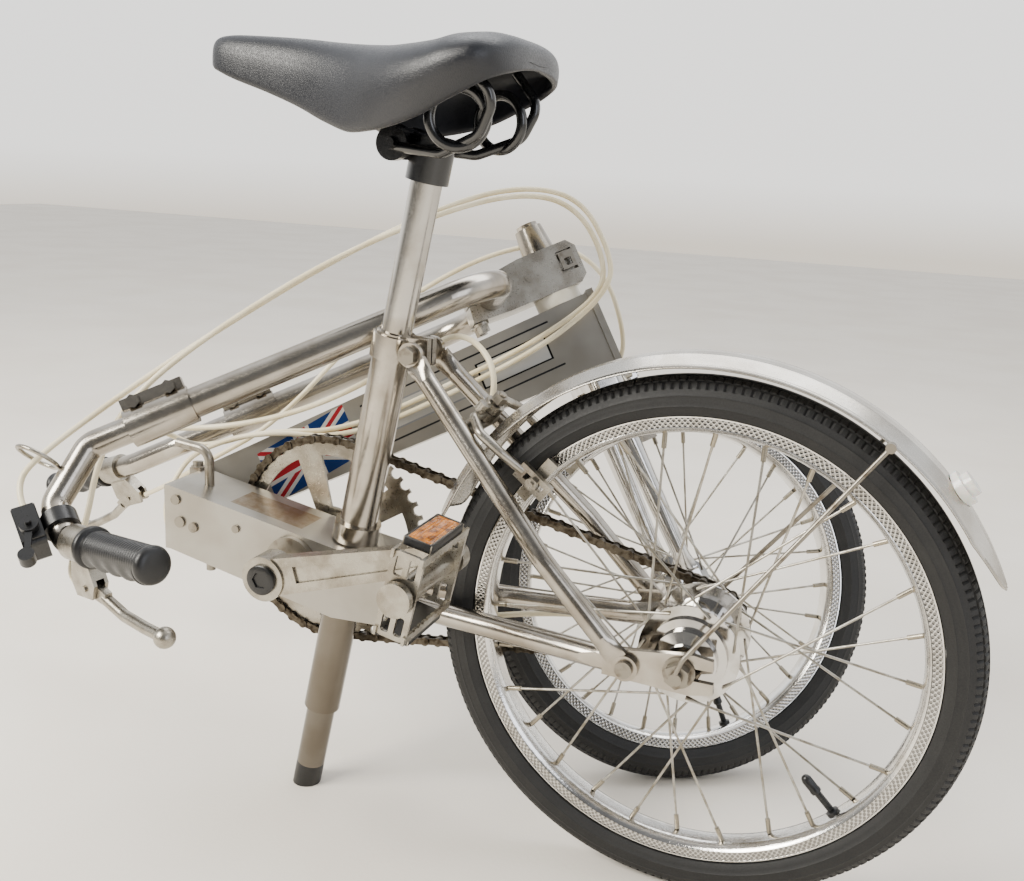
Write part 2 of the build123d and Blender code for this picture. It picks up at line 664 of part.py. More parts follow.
def chain():
    """Chain as a run of rollers between two rows of side plates."""
    points = roller_points()
    made = []
    for i, (x, z) in enumerate(points):
        x1, z1 = points[(i + 1) % len(points)]
        far = 4.3 if i % 2 else 3.2
        made.append(rod((x, CHAIN_LINE - 4.8, z), (x, CHAIN_LINE + 4.8, z), 1.8)
                    + rod((x, CHAIN_LINE - 2.1, z), (x, CHAIN_LINE + 2.1, z), ROLLER_R - 0.4))
        for side in (-1, 1):
            y = CHAIN_LINE + side * far
            bar = rod((x, y - 0.45, z), (x, y + 0.45, z), 4.1) + rod((x1, y - 0.45, z1),
                (x1, y + 0.45, z1), 4.1)
            mid = Plane(origin=((x + x1) / 2, y, (z + z1) / 2), x_dir=(x1 - x, 0, z1 - z), z_dir=(0, 1, 0))
            made.append(bar + mid.location * Box(PITCH, 6.0, 0.9) - rod((x, y - 1, z), (x, y + 1, z), 1.85)
                        - rod((x1, y - 1, z1), (x1, y + 1, z1), 1.85))
    return group(*made)


def toothed(teeth, phase, bore, pitch_r):
    """Toothed disc about Z whose gaps take the chain's rollers."""
    tip = pitch_r + 2.0
    disc = Cylinder(tip, TOOTH_T) - Cylinder(bore, TOOTH_T + 2)
    gaps = [Rot(0, 0, degrees(phase) + 360 * i / teeth) * Pos(pitch_r + 1.2, 0, 0) * Box(
        2.4, 2 * ROLLER_R + 1.0, 9)
            for i in range(teeth)]
    seats = [Rot(0, 0, degrees(phase) + 360 * i / teeth) * Pos(pitch_r, 0, 0) * Cylinder(ROLLER_R + 0.35, 9)
             for i in range(teeth)]
    disc -= seats
    return disc - gaps


def chainring():
    """Toothed ring with five wide openings and a hub that fits the right crank."""
    ring_r, cog_r, base, tilt = chain_path()
    phase = -ring_rollers()[0][1]
    disc = toothed(RING_TEETH, phase, 12.0, ring_r)
    for i in range(5):
        window = Rot(0, 0, 72 * i) * ring_window(ring_r)
        disc -= window
    placed = across_y(disc, BB_X, CHAIN_LINE, BB_Z)
    hub = pipe((BB_X, CHAIN_LINE - 1.3, BB_Z), (BB_X, CRANK_IN_Y, BB_Z), 20.0, SPINDLE_R + 0.02)
    return placed + hub


def ring_window(ring_r):
    """One opening between two arms of the chainring."""
    r0, r1, half = 30.0, ring_r - 15.0, radians(27)
    pts = [(r0 * cos(half * 0.72), -r0 * sin(half * 0.72)), (r1 * cos(half), -r1 * sin(half))]
    outer = ThreePointArc(pts[1], (r1, 0), (pts[1][0], -pts[1][1]))
    inner = ThreePointArc((pts[0][0], -pts[0][1]), (r0, 0), pts[0])
    face = make_face(Curve() + [Line(pts[0], pts[1]), outer, Line(outer @ 1, inner @ 0), inner])
    return Pos(0, 0, -5) * extrude(face, amount=10)


def sprocket():
    """16-tooth sprocket on the hub's driver."""
    ring_r, cog_r, base, tilt = chain_path()
    disc = toothed(SPROCKET_TEETH, -cog_rollers()[0][1], AXLE_R + RUN_CLEAR, cog_r)
    driver = turned([(AXLE_R + RUN_CLEAR, -4.0), (15, -4.0), (15, 4.0), (AXLE_R + RUN_CLEAR, 4.0)])
    return across_y(disc + driver, 0, CHAIN_LINE, REAR_TYRE_R)


def crank_end(side):
    """X and Z of a pedal eye."""
    a = radians(CRANK_ANGLE) if side < 0 else radians(CRANK_ANGLE + 180)
    return BB_X + CRANK_LEN * cos(a), BB_Z + CRANK_LEN * sin(a)


def crank(side):
    """Forged arm that tapers from the square end to the pedal eye."""
    x, z = crank_end(side)
    y0, y1 = sorted((side * CRANK_IN_Y, side * (CRANK_IN_Y + CRANK_T)))
    d = Vector(x - BB_X, 0, z - BB_Z).normalized()
    n = Vector(-d.Z, 0, d.X)
    a, b = Vector(BB_X, 0, BB_Z), Vector(x, 0, z)
    web = [a + n * 16, b + n * 10.5, b - n * 10.5, a - n * 16]
    arm = slab([(p.X, p.Z) for p in web], y0, y1)
    boss = rod((BB_X, side * (CRANK_IN_Y - 8 if side < 0 else CRANK_IN_Y + 0.02), BB_Z),
               (BB_X, side * (CRANK_IN_Y + CRANK_T + 2), BB_Z), 19.0)
    eye = rod((x, y0, z), (x, y1, z), 12.5)
    hole = rod((BB_X, -100, BB_Z), (BB_X, 100, BB_Z), SPINDLE_R + 0.02) + rod((x, y0 - 2, z),
        (x, y1 + 2, z), 7.0)
    groove = slab([(p.X, p.Z) for p in (a + d * 30 + n * 7, b - d * 26 + n * 4, b - d * 26 - n * 4,
        a + d * 30 - n * 7)],
                  *sorted((side * (CRANK_IN_Y + CRANK_T - 2.5), side * (CRANK_IN_Y + CRANK_T + 5))))
    return arm + boss + eye - hole - groove


def crank_caps():
    """Dust caps over the crank bolts."""
    made = []
    for side in (-1, 1):
        y = side * (CRANK_IN_Y + CRANK_T + 2)
        made.append(rod((BB_X, side * (CRANK_IN_Y + CRANK_T - 3), BB_Z), (BB_X, y + side * 1.8, BB_Z), 8.3)
                    + rod((BB_X, y, BB_Z), (BB_X, y + side * 1.8, BB_Z), 12.5))
    return group(*made)


def spindle():
    """Bottom bracket spindle."""
    end = CRANK_IN_Y + CRANK_T - 3.1
    return rod((BB_X, -end, BB_Z), (BB_X, end, BB_Z), SPINDLE_R)


def pedal_axle(side):
    """Pedal spindle screwed into the crank's eye."""
    x, z = crank_end(side)
    y = side * (CRANK_IN_Y - 1)
    axle = rod((x, y, z), (x, side * (CRANK_IN_Y + CRANK_T + PEDAL_LEN - 4), z), 4.0)
    collar = rod((x, y, z), (x, side * (CRANK_IN_Y + CRANK_T + 5), z), 6.95)
    return axle + collar


def pedal(side, turn):
    """Cage pedal: barrel, two end plates and two toothed side plates, turned about its spindle."""
    x, z = crank_end(side)
    y0 = CRANK_IN_Y + CRANK_T + 5.5
    y1 = y0 + PEDAL_LEN
    h = PEDAL_HALF
    barrel = extrude(Circle(PEDAL_BARREL_R) - Circle(4.0 + RUN_CLEAR), amount=PEDAL_LEN - 2)
    cage = barrel + Pos(0, 0, PEDAL_LEN - 2) * Cylinder(12.5, 6.0,
        align=(Align.CENTER, Align.CENTER, Align.MIN))
    plate = RectangleRounded(2 * h - 6, 25, 6) - Circle(PEDAL_BARREL_R - 0.1)
    for s in (-1, 1):
        plate -= Pos(s * (h - 14), 5.2) * RectangleRounded(15, 6.4, 2)
        plate -= Pos(s * (h - 14), -5.2) * RectangleRounded(15, 6.4, 2)
    for at in (2.0, PEDAL_LEN - 8):
        cage += Pos(0, 0, at) * extrude(plate, amount=3.0)
    bar = Box(PEDAL_BAR_W, 2.2, PEDAL_LEN - 4, align=(Align.CENTER, Align.CENTER, Align.MIN))
    tooth = Box(3.2, 4.0, 3.0)
    for s in (-1, 1):
        for t in (-1, 1):
            teeth = [Pos(-s * 3.4, 0, 12.5 + 7.5 * i) * tooth for i in range(8)]
            cage += Pos(s * (h - 5.75), t * 11.3, 1) * (bar - group(*teeth))
    reflectors = []
    for s in (-1, 1):
        case = Box(6.0, 22, PEDAL_LEN - 28, align=(Align.CENTER, Align.CENTER, Align.MIN))
        reflectors.append(Pos(s * (h + 0.55), 0, 12) * case)
    spot = Plane(origin=(x, side * y0, z), x_dir=(cos(radians(turn)), 0, sin(radians(turn))),
        z_dir=(0, side, 0))
    return spot.location * cage, spot.location * group(*reflectors)


# ================================================================ seat
def pillar():
    """Long seat pillar that also makes the third foot when the bicycle is folded."""
    return pipe(on_pillar(22), on_pillar(PILLAR_TOP), PILLAR_R, PILLAR_R - 2.2)


def pillar_foot():
    """Rubber plug with a flat sole."""
    sole = rod(on_pillar(-20), on_pillar(22), PILLAR_R - 0.05)
    stem = rod(on_pillar(21), on_pillar(42), PILLAR_R - 2.3)
    return (sole + stem) - block(-500, -200, -50, 50, -80, 0)


SADDLE_AXIS_D = PILLAR_TOP - 8      # clamp bolt's distance up the pillar
SADDLE_REAR, SADDLE_NOSE = 108.0, 172.0


def saddle_clamp():
    """Black clamp on the pillar's top with a barrel for the rails."""
    band = rod(on_pillar(PILLAR_TOP - 32), on_pillar(PILLAR_TOP + 3), PILLAR_R + 4.5)
    band -= rod(on_pillar(PILLAR_TOP - 60), on_pillar(PILLAR_TOP), PILLAR_R + 0.04)
    x, _, z = on_pillar(SADDLE_AXIS_D)
    ears = rod((x - 24, -15, z + 4), (x - 24, 15, z + 4), 12.0)
    neck = block(x - 26, x - 13, -11, 11, z - 8, z + 12)
    hole = rod((x - 24, -30, z + 4), (x - 24, 30, z + 4), 5.0 + RUN_CLEAR)
    bore = rod(on_pillar(PILLAR_TOP - 60), on_pillar(PILLAR_TOP), PILLAR_R + 0.04)
    return band + ears + neck - hole - bore


def saddle_bolt_at():
    """X and Z of the saddle clamp's cross bolt."""
    x, _, z = on_pillar(SADDLE_AXIS_D)
    return x - 24, z + 4


def saddle_rails():
    """Cross bolt, side discs, rails and the two rear loop springs as one welded carrier."""
    x, z = saddle_bolt_at()
    bolt = rod((x, -30, z), (x, 30, z), 5.0)
    made = bolt
    for side in (-1, 1):
        disc = rod((x, side * 15.3, z), (x, side * 24, z), 13.0)
        nose = bent_rod([(x, side * 20, z + 6), (x - 60, side * 17, z + 32), (x - 126, side * 9, z + 64)],
            3.5, 20.0)
        wire = bent_rod([(x, side * 20, z - 2), (x + 46, side * 34, z - 6), (x + 80, side * 44, z + 8),
                         (x + 92, side * 48, z + 34), (x + 70, side * 52, z + 58)], 4.0, 16.0)
        ring = Plane(origin=(x + 62, side * 42, z + 20), z_dir=(0.25 * side, 1, 0)).location * Torus(21.0,
            4.2)
        made += disc + nose + wire + ring
    return made


def saddle_outline(x, inset):
    """Plan of the saddle, both halves, moved inwards by an inset."""
    rear, nose = x + SADDLE_REAR, x - SADDLE_NOSE
    half = [
        (nose + inset, 0), (nose + inset + 1, 10 - inset / 2), (nose + inset + 7, 18 - inset / 2),
        (nose + 60, 24 - inset), (nose + 110, 36 - inset), (nose + 150, 58 - inset),
        (nose + 180, 76 - inset),
        (rear - 60, 91 - inset), (rear - 28, 94 - inset), (rear - inset - 8, 82 - inset),
        (rear - inset, 50 - inset),
    ]
    return half + [(px, -py) for px, py in reversed(half[1:])]


def saddle():
    """Moulded saddle: plan outline and side outline together, hollow underneath."""
    x, z = saddle_bolt_at()
    rear, nose = x + SADDLE_REAR, x - SADDLE_NOSE
    plan = Plane(origin=(0, 0, z - 40)) * Polygon(*saddle_outline(x, 0.0), align=None)
    body = extrude(plan, amount=160, dir=(0, 0, 1))
    side = [
        (nose - 5, z + 62), (nose + 6, z + 72), (nose + 26, z + 78), (nose + 70, z + 77),
        (x - 50, z + 73), (x, z + 71),
        (x + 45, z + 74), (rear - 44, z + 80), (rear - 16, z + 80), (rear + 5, z + 73), (rear + 5, z + 50),
        (rear - 60, z + 22), (x + 20, z + 7), (x - 22, z + 3), (x - 60, z + 19), (nose + 40, z + 48),
        (nose + 12, z + 57), (nose - 5, z + 59),
    ]
    body = body & slab(side, -120, 120)
    inner = Plane(origin=(0, 0, z - 50)) * Polygon(*saddle_outline(x, 9.0), align=None)
    under = [(nose + 15, z + 10), (nose + 22, z + 62), (x, z + 59), (rear - 12, z + 64),
        (rear - 12, z - 4), (x, z - 20)]
    well = extrude(inner, amount=170, dir=(0, 0, 1)) & slab(under, -110, 110)
    return body - well - saddle_rails()


# ================================================================ hinge
def hinge_leaf(is_rear):
    """Knuckles and leaf of one half of the fold hinge, in the bike frame, as when ridden."""
    frame = in_hinge_frame()
    r = HINGE_BARREL_R
    spans = ((-HINGE_HALF_L, -KNUCKLE_HALF - 0.4), (KNUCKLE_HALF + 0.4, HINGE_HALF_L)) if is_rear \
        else ((-KNUCKLE_HALF, KNUCKLE_HALF),)
    sign = -1 if is_rear else 1
    made = None
    for z0, z1 in spans:
        barrel = extrude(Plane(origin=(0, 0, z0)) * Circle(r), amount=z1 - z0)
        # X points forward, so Y of this frame points to the left side of the bicycle
        tongue = block(*sorted((0, sign * (HINGE_SETBACK + 4))), 0.5, 13.0, z0, z1)
        made = barrel + tongue if made is None else made + barrel + tongue
    made -= Cylinder(HINGE_PIN_R + RUN_CLEAR, 200)
    return frame * made


def hinge_pin():
    """Pin with a head and a riveted end, a running fit in the front knuckle."""
    pin = Cylinder(HINGE_PIN_R, 2 * HINGE_HALF_L + 8)
    pin += Pos(0, 0, HINGE_HALF_L + 2.1) * Cylinder(4.9, 4.0) + Pos(0, 0,
        -HINGE_HALF_L - 2.1) * Cylinder(4.9, 4.0)
    return in_hinge_frame() * pin


def rear_hinge():
    """Rear leaf trimmed to the outside of the rear beam and its end plate."""
    half = BEAM_W / 2
    outline = beam_outline()
    cut = slab(outline, -half, half) + block(BEAM_FRONT_X - END_PLATE_T, BEAM_FRONT_X, -half, half,
        *BEAM_FRONT_Z)
    return hinge_leaf(True) - cut


def ride_frame():
    """Front frame's location when the bicycle is unfolded."""
    origin = HINGE - RIDE_FWD * HINGE_FWD + Vector(0, HINGE_SIDE, 0) - RIDE_UP * HINGE_UP
    return Plane(origin=origin, x_dir=RIDE_FWD, z_dir=RIDE_UP).location


# ================================================================ front frame
def axis_in_front():
    """Hinge axis seen in the front frame: forward and up parts."""
    return HINGE_AXIS.dot(RIDE_FWD), HINGE_AXIS.dot(RIDE_UP)


def fbeam_outline(setback):
    """Side outline of the front beam; its hinge end runs along the hinge axis, set back from it."""
    ax, az = axis_in_front()
    lean = ax / az
    h0, h1 = FBEAM_HINGE_H / 2, FBEAM_HEAD_H / 2
    x0 = HINGE_FWD + setback / cos(atan2(ax, az))
    return [
        (x0 - lean * h0 + lean * (FBEAM_MID - HINGE_UP), FBEAM_MID - h0),
        (x0 + lean * h0 + lean * (FBEAM_MID - HINGE_UP), FBEAM_MID + h0),
        (FBEAM_NOSE, FBEAM_MID + h1), (FBEAM_NOSE, FBEAM_MID - h1),
    ]


def front_beam():
    """Tapered box beam with a bore for the head tube."""
    half = FBEAM_W / 2
    outline = fbeam_outline(HINGE_SETBACK + END_PLATE_T)
    outer = slab(outline, -half, half)
    inner = outer.intersect(slab(offset_outline(outline, FBEAM_WALL), FBEAM_WALL - half, half - FBEAM_WALL))
    return outer - inner - rod((0, 0, 150), (0, 0, 340), HEAD_R) - corner_relief()


def corner_relief():
    """Chamfer along the front beam's hinge-side corner, so that the beams clear when folded."""
    x = HINGE_FWD + HINGE_SETBACK
    return Pos(x, -FBEAM_W / 2, FBEAM_MID) * Rot(0, -4, 45) * Box(10.0, 10.0, 110)


def front_end_plate():
    """Plate that closes the hinge end of the front beam."""
    half = FBEAM_W / 2
    plate = slab(fbeam_outline(HINGE_SETBACK), -half, half)
    return plate - slab(fbeam_outline(HINGE_SETBACK + END_PLATE_T), -half - 1, half + 1) - block(-330, 90,
        -60, 60, 100, 400) - corner_relief()


def head_cap():
    """Channel-shaped cover over the front beam's nose, with its two screws."""
    half = FBEAM_W / 2
    h = FBEAM_HEAD_H / 2
    shell = block(FBEAM_NOSE - 3.5, FBEAM_NOSE + 3, -half - 2.2, half + 2.2, FBEAM_MID - h - 2.2,
        FBEAM_MID + h + 2.2)
    shell -= block(FBEAM_NOSE - 14, FBEAM_NOSE, -half, half, FBEAM_MID - h, FBEAM_MID + h)
    return shell


def head_tube():
    """Steel head tube pressed through the beam, flush with its faces."""
    h = FBEAM_HEAD_H / 2
    return pipe((0, 0, FBEAM_MID - h), (0, 0, FBEAM_MID + h), HEAD_R, HEAD_BORE_R)


def head_bushes():
    """Moulded bearing bushes above and below the head tube."""
    h = FBEAM_HEAD_H / 2
    bore = STEERER_R + RUN_CLEAR
    top = pipe((0, 0, FBEAM_MID + h), (0, 0, STEM_BOTTOM - 0.15), WASHER_R, bore)
    top += pipe((0, 0, FBEAM_MID + h - 12), (0, 0, FBEAM_MID + h), HEAD_BORE_R - 0.02, bore)
    low = pipe((0, 0, FBEAM_MID - h - 8), (0, 0, FBEAM_MID - h), WASHER_R, bore)
    low += pipe((0, 0, FBEAM_MID - h), (0, 0, FBEAM_MID - h + 12), HEAD_BORE_R - 0.02, bore)
    return group(top, low)


def front_hinge():
    """Front leaf trimmed to the outside of the front beam, in the front frame's terms."""
    half = FBEAM_W / 2
    made = ride_frame().inverse() * hinge_leaf(False)
    return made - slab(fbeam_outline(HINGE_SETBACK), -half, half + 20)


# ================================================================ fork
def steerer():
    """Steerer tube with its tapered cap at the top."""
    tube = rod((0, 0, CROWN_BOTTOM + 16), (0, 0, CAP_TOP - 14), STEERER_R)
    cap = Pos(0, 0, STEM_TOP + 0.1) * Cone(17.0, 13.5, CAP_TOP - STEM_TOP,
        align=(Align.CENTER, Align.CENTER, Align.MIN))
    plug = Pos(0, 0, CAP_TOP + 0.1) * Cylinder(10.5, 4.0, align=(Align.CENTER, Align.CENTER, Align.MIN))
    return tube, cap - Pos(0, 0, CAP_TOP - 14) * Cylinder(STEERER_R + 0.02, 80,
        align=(Align.CENTER, Align.CENTER, Align.MAX)), plug


def crown_top():
    """Height of the crown's top face, just under the lower bush."""
    return FBEAM_MID - FBEAM_HEAD_H / 2 - 8 - 0.15


def fork():
    """Crown and two tapered blades with flattened ends."""
    crown = block(-17, 17, -BLADE_TOP_Y - 13, BLADE_TOP_Y + 13, CROWN_BOTTOM, crown_top())
    crown = fillet(crown.edges().filter_by(Axis.Z), 9.0)
    crown -= rod((0, 0, 100), (0, 0, 300), STEERER_R + 0.02)
    made = crown
    for side in (-1, 1):
        low_y = side * (FRONT_OLN / 2 + 2.5)
        made += loft([Plane(origin=(0, side * BLADE_TOP_Y, CROWN_BOTTOM + 2)) * Circle(BLADE_R),
                      Plane(origin=(0, low_y, 34)) * Circle(8.0)])
        made += loft([Plane(origin=(0, low_y, 34)) * Circle(8.0),
            Plane(origin=(0, low_y, 12)) * Rectangle(20, 5)])
        made += block(-10, 10, low_y - 2.5, low_y + 2.5, -14, 12.2)
    slot = block(-AXLE_R - 0.15, AXLE_R + 0.15, -80, 80, -30, 0) + rod((0, -80, 0), (0, 80, 0),
        AXLE_R + 0.15)
    bolt = rod((-60, 0, FRONT_BRAKE_Z), (60, 0, FRONT_BRAKE_Z), 3.02)
    return made - slot - bolt


def front_axle():
    """Front axle with cones, washers and nuts."""
    half = FRONT_OLN / 2
    axle = rod((0, -half - 18, 0), (0, half + 18, 0), AXLE_R)
    for side in (-1, 1):
        y = side * half
        axle += rod((0, y - side * 5, 0), (0, y - side * 0.02, 0), 8.5)
        y += side * 5.02
        axle += rod((0, y, 0), (0, y + side * 1.6, 0), 10.5)
        axle += Plane(origin=(0, y + side * 1.6, 0), z_dir=(0, side, 0)).location * hexagon(15.0, 7.0)
    return axle


def stem():
    """Machined stem block with a split clamp for the handlebar and a pocket for the toggle."""
    w = STEM_HALF_W
    body = slab([(-88, BAR_Z - 17), (-84, BAR_Z + 17), (-26, STEM_TOP), (24, STEM_TOP), (31, STEM_TOP - 8),
                 (31, STEM_BOTTOM + 6), (24, STEM_BOTTOM), (-50, STEM_BOTTOM)], -w, w)
    body -= rod((0, 0, 200), (0, 0, 400), STEERER_R + 0.02)
    body -= rod((BAR_X, -60, BAR_Z), (BAR_X, 60, BAR_Z), BAR_R + RUN_CLEAR)
    body -= block(-95, BAR_X, -40, 40, BAR_Z - 1.2, BAR_Z + 1.2)
    body -= block(10, 26, -w - 1, -w + 7, STEM_BOTTOM + 14, STEM_TOP - 8)
    return body


def stem_bolts():
    """Clamp bolts under the handlebar and a socket screw in the side."""
    made = []
    for y in (-12.0, 12.0):
        head = Plane(origin=(-80.5, y, BAR_Z - 20.5), z_dir=(0, 0, -1)).location * hexagon(10.0, 7.0)
        made.append(head + rod((-80.5, y, BAR_Z - 20.6), (-80.5, y, BAR_Z - 18.0), 7.5))
    made.append(rod((-22, -STEM_HALF_W - 1.0, 324.5), (-22, -STEM_HALF_W - 0.02, 324.5), 4.5))
    return group(*made)


LATCH_AT = (18.0, -STEM_HALF_W + 3.0, STEM_TOP - 16)


def stem_latch():
    """Toggle lever in the stem's side pocket, on a cross pin along X."""
    x, y, z = LATCH_AT
    bow = block(x - 7, x + 7, y - 7.0, y - 4.2, z - 11, z + 6)
    bow -= block(x - 3.6, x + 3.6, y - 9, y - 2, z - 8, z - 1)
    roller = rod((x - 7, y - 2.6, z + 3), (x + 7, y - 2.6, z + 3), 3.0)
    return bow + roller


# ================================================================ handlebar
def handlebar():
    """U-shaped tube: two legs and the cross piece held in the stem."""
    w = BAR_HALF_W
    return bent_rod([(BAR_NEAR_END, -w, BAR_Z), (BAR_X, -w, BAR_Z), (BAR_X, w, BAR_Z),
        (BAR_FAR_END, w, BAR_Z)],
                    BAR_R, BAR_BEND)


def clamp_sleeve(x_end, side):
    """Split sleeve with two bolts over the joint of a leg and its handle tube."""
    y = side * BAR_HALF_W
    sleeve = rod((x_end + 26, y, BAR_Z), (x_end - 28, y, BAR_Z), BAR_R + 3.2)
    ridge = block(x_end - 27, x_end + 25, y - 5, y + 5, BAR_Z + 8, BAR_Z + 24)
    bore = rod((x_end + 40, y, BAR_Z), (x_end - 0.1, y, BAR_Z), BAR_R + 0.02)
    bore += rod((x_end, y, BAR_Z), (x_end - 40, y, BAR_Z), HANDLE_R + RUN_CLEAR)
    slot = block(x_end - 40, x_end + 40, y - 0.9, y + 0.9, BAR_Z + 4, BAR_Z + 40)
    bolts = []
    for dx in (-16.0, 14.0):
        shank = rod((x_end + dx, y - 8.0, BAR_Z + 19), (x_end + dx, y + 11.0, BAR_Z + 19), 3.0)
        head = Plane(origin=(x_end + dx, y - 5.05, BAR_Z + 19), z_dir=(0, -1, 0)).location * hexagon(10.0,
            6.0)
        nut = Plane(origin=(x_end + dx, y + 5.05, BAR_Z + 19), z_dir=(0, 1, 0)).location * hexagon(10.0,
            5.0)
        bolts.append(shank + head + nut)
        ridge -= rod((x_end + dx, y - 12, BAR_Z + 19), (x_end + dx, y + 12, BAR_Z + 19), 3.1)
    return sleeve + ridge - bore - slot, group(*bolts)


NEAR_HANDLE = [(BAR_NEAR_END - 0.2, -BAR_HALF_W, BAR_Z), (-430, -BAR_HALF_W, BAR_Z), (-470, -140, 286),
               (-466, -160, 256), (-395, -256, 209)]
FAR_HANDLE = [(BAR_FAR_END - 0.2, BAR_HALF_W, BAR_Z), (-400, BAR_HALF_W, BAR_Z), (-455, 152, 324),
    (-556, 236, 344)]
GRIP_R = 15.0
CABLE_RING_R = 17.0
GRIP_L = 92.0
NEAR_LEVER_SIDE = ((0.2, -0.3, -1.0), 14.0)
FAR_LEVER_SIDE = ((0.2, 0.2, -1.0), 14.0)


def handle_tube(points, bend):
    """Bent tube from the sleeve to the end of its grip."""
    return bent_rod(points, HANDLE_R, bend)


def grip_place(points):
    """Start, end and direction of the grip on a handle's last run."""
    a, b = Vector(*points[-2]), Vector(*points[-1])
    d = (b - a).normalized()
    end = b + d * 3.0
    return end - d * GRIP_L, end, d


def grip(points):
    """Moulded grip with five finger ridges, closed at its end."""
    a, b, d = grip_place(points)
    body = rod(a, b, GRIP_R)
    flange = rod(a, (a + d * 5), GRIP_R + 2.5)
    made = body + flange
    for i in range(5):
        c = a + d * (16 + 15 * i)
        made += rod((c - d * 3), (c + d * 3), GRIP_R + 1.3)
    bore = rod((a - d * 5), (Vector(*points[-1]) + d * 0.02), HANDLE_R + 0.02)
    return made - bore


# ---------------------------------------------------------------- levers
def lever_frame(points, drop, along):
    """Location at the grip's inner end: X along the grip, Z towards the lever."""
    a, b, d = grip_place(points)
    side = Vector(*drop)
    side = (side - d * side.dot(d)).normalized()
    return Plane(origin=a - d * along, x_dir=d, z_dir=side).location


def lever_bracket():
    """Clamp band and arm that carry a brake lever, in the lever's frame."""
    band = rod((-12, 0, 0), (12, 0, 0), HANDLE_R + 3.0) - rod((-20, 0, 0), (20, 0, 0), HANDLE_R + 0.02)
    arm = slab([(-12, 12), (12, 12), (16, 30), (8, 42), (-16, 42), (-20, 30)], -6.0, 6.0)
    slot = block(-30, 40, -3.2, 3.2, 26, 60)
    hole = rod((0, -20, 34), (0, 20, 34), 2.5 + RUN_CLEAR)
    return band + (arm - slot - rod((-20, 0, 0), (20, 0, 0), HANDLE_R + 0.02)) - hole


def lever_pin():
    """Pivot pin of a brake lever."""
    return rod((0, -7.5, 34), (0, 7.5, 34), 2.5)


def brake_lever(reach, dip):
    """Blade with a ball end, in the lever's frame; it pulls towards the grip."""
    root = rod((0, -3.0, 34), (0, 3.0, 34), 7.0)
    web = slab([(-4, 28), (6, 28), (24, 36), (22, 46), (-4, 41)], -3.0, 3.0)
    blade = bent_rod([(18, 0, 41), (42, 0, 50), (70, 0, 54 + dip / 2), (reach, 0, 56 + dip)], 4.6, 22.0)
    ball = Pos(reach, 0, 56 + dip) * Sphere(8.0)
    hole = rod((0, -10, 34), (0, 10, 34), 2.5 + RUN_CLEAR)
    return root + web + blade + ball - hole


def shifter_frame():
    """Location of the gear shifter on the near handle's bend."""
    end, start = Vector(*NEAR_HANDLE[-2]), Vector(*NEAR_HANDLE[-3])
    along = (start - end).normalized()
    out = Vector(-1.0, -0.35, 0.0)
    out = (out - along * out.dot(along)).normalized()
    return Plane(origin=end + along * 17, x_dir=along, z_dir=out).location


def shifter():
    """Shifter body: clamp band, black case and cover plate."""
    band = rod((-7, 0, 0), (7, 0, 0), HANDLE_R + 3.0) - rod((-20, 0, 0), (20, 0, 0), HANDLE_R + 0.02)
    case = block(-20, 20, -13, 13, HANDLE_R + 2.0, HANDLE_R + 20)
    case = fillet(case.edges().filter_by(Axis.Z), 5.0)
    case -= rod((-30, 0, 0), (30, 0, 0), HANDLE_R + 0.02)
    plate = block(-17, 17, -14.6, -13.05, HANDLE_R + 3, HANDLE_R + 19)
    post = rod((-6, -13.05, HANDLE_R + 11), (-6, -24, HANDLE_R + 11), 2.5)
    plate -= rod((-6, -10, HANDLE_R + 11), (-6, -30, HANDLE_R + 11), 2.6)
    return band + case + post, plate


def gear_lever():
    """Short shift lever with a ball, turning on the shifter's post."""
    z = HANDLE_R + 11
    hub = pipe((-6, -15.0, z), (-6, -20.0, z), 7.0, 2.5 + RUN_CLEAR)
    arm = slab([(-10, z - 2), (-34, z + 6), (-34, z + 10), (-10, z + 4)], -19.0, -16.0)
    knob = rod((-35, -22.5, z + 8.5), (-35, -12.5, z + 8.5), 6.0)
    return hub + arm + knob


def cable_ring():
    """Wire guide ring clipped to the near handle."""
    start, end = Vector(*NEAR_HANDLE[1]), Vector(*NEAR_HANDLE[2])
    along = (end - start).normalized()
    out = Vector(-0.6, 0, 1)
    out = (out - along * out.dot(along)).normalized()
    centre = start + along * 26 + out * (HANDLE_R + CABLE_RING_R + 1.7)
    ring = Plane(origin=centre, z_dir=along).location * Torus(CABLE_RING_R, 1.8)
    return ring - rod(start, end, HANDLE_R + 0.02)


# ================================================================ lock rod and fittings
def lock_rod():
    """Cranked rod that locks the two beams together when ridden."""
    x = LOCK_ROD_X
    return bent_rod([(x, 0, 190), (x, 0, 303), (x - 34, 0, 306)], LOCK_ROD_R, 12.0)


def beam_fasteners():
    """Rivets and screws on the near face of the rear beam."""
    y = -BEAM_W / 2
    made = []
    for x, z, r in ((-462, 263, 4.5), (-458, 243, 5.0), (-444, 240, 4.5), (-400, 246, 3.5)):
        made.append(rod((x, y - 2.0, z), (x, y - 0.02, z), r))
    return group(*made)


# ================================================================ cables
def fork_point(x, y, z):
    """Point given in the fork's frame, in the bike frame."""
    return (FORK_FRAME * Pos(x, y, z)).position


def front_point(x, y, z):
    """Point given in the front frame's terms, in the bike frame."""
    return (FRONT_FRAME * Pos(x, y, z)).position


def arch(offset):
    """Shared run of a cable over the near leg and round the stem, moved sideways by an offset."""
    y = offset
    return [
        fork_point(-388, -102 + y, 350 + y), fork_point(-300, -100 + y, 376),
        fork_point(-180, -98 + y, 396),
        fork_point(-60, -88 + y, 398 + y), fork_point(8, -62, 388 + y), fork_point(42 + y, -44, 362 + y),
        fork_point(48 + y, -40, 318), fork_point(34 + y, -44 - y, 284), fork_point(-24, -42 - y, 268 - y),
    ]


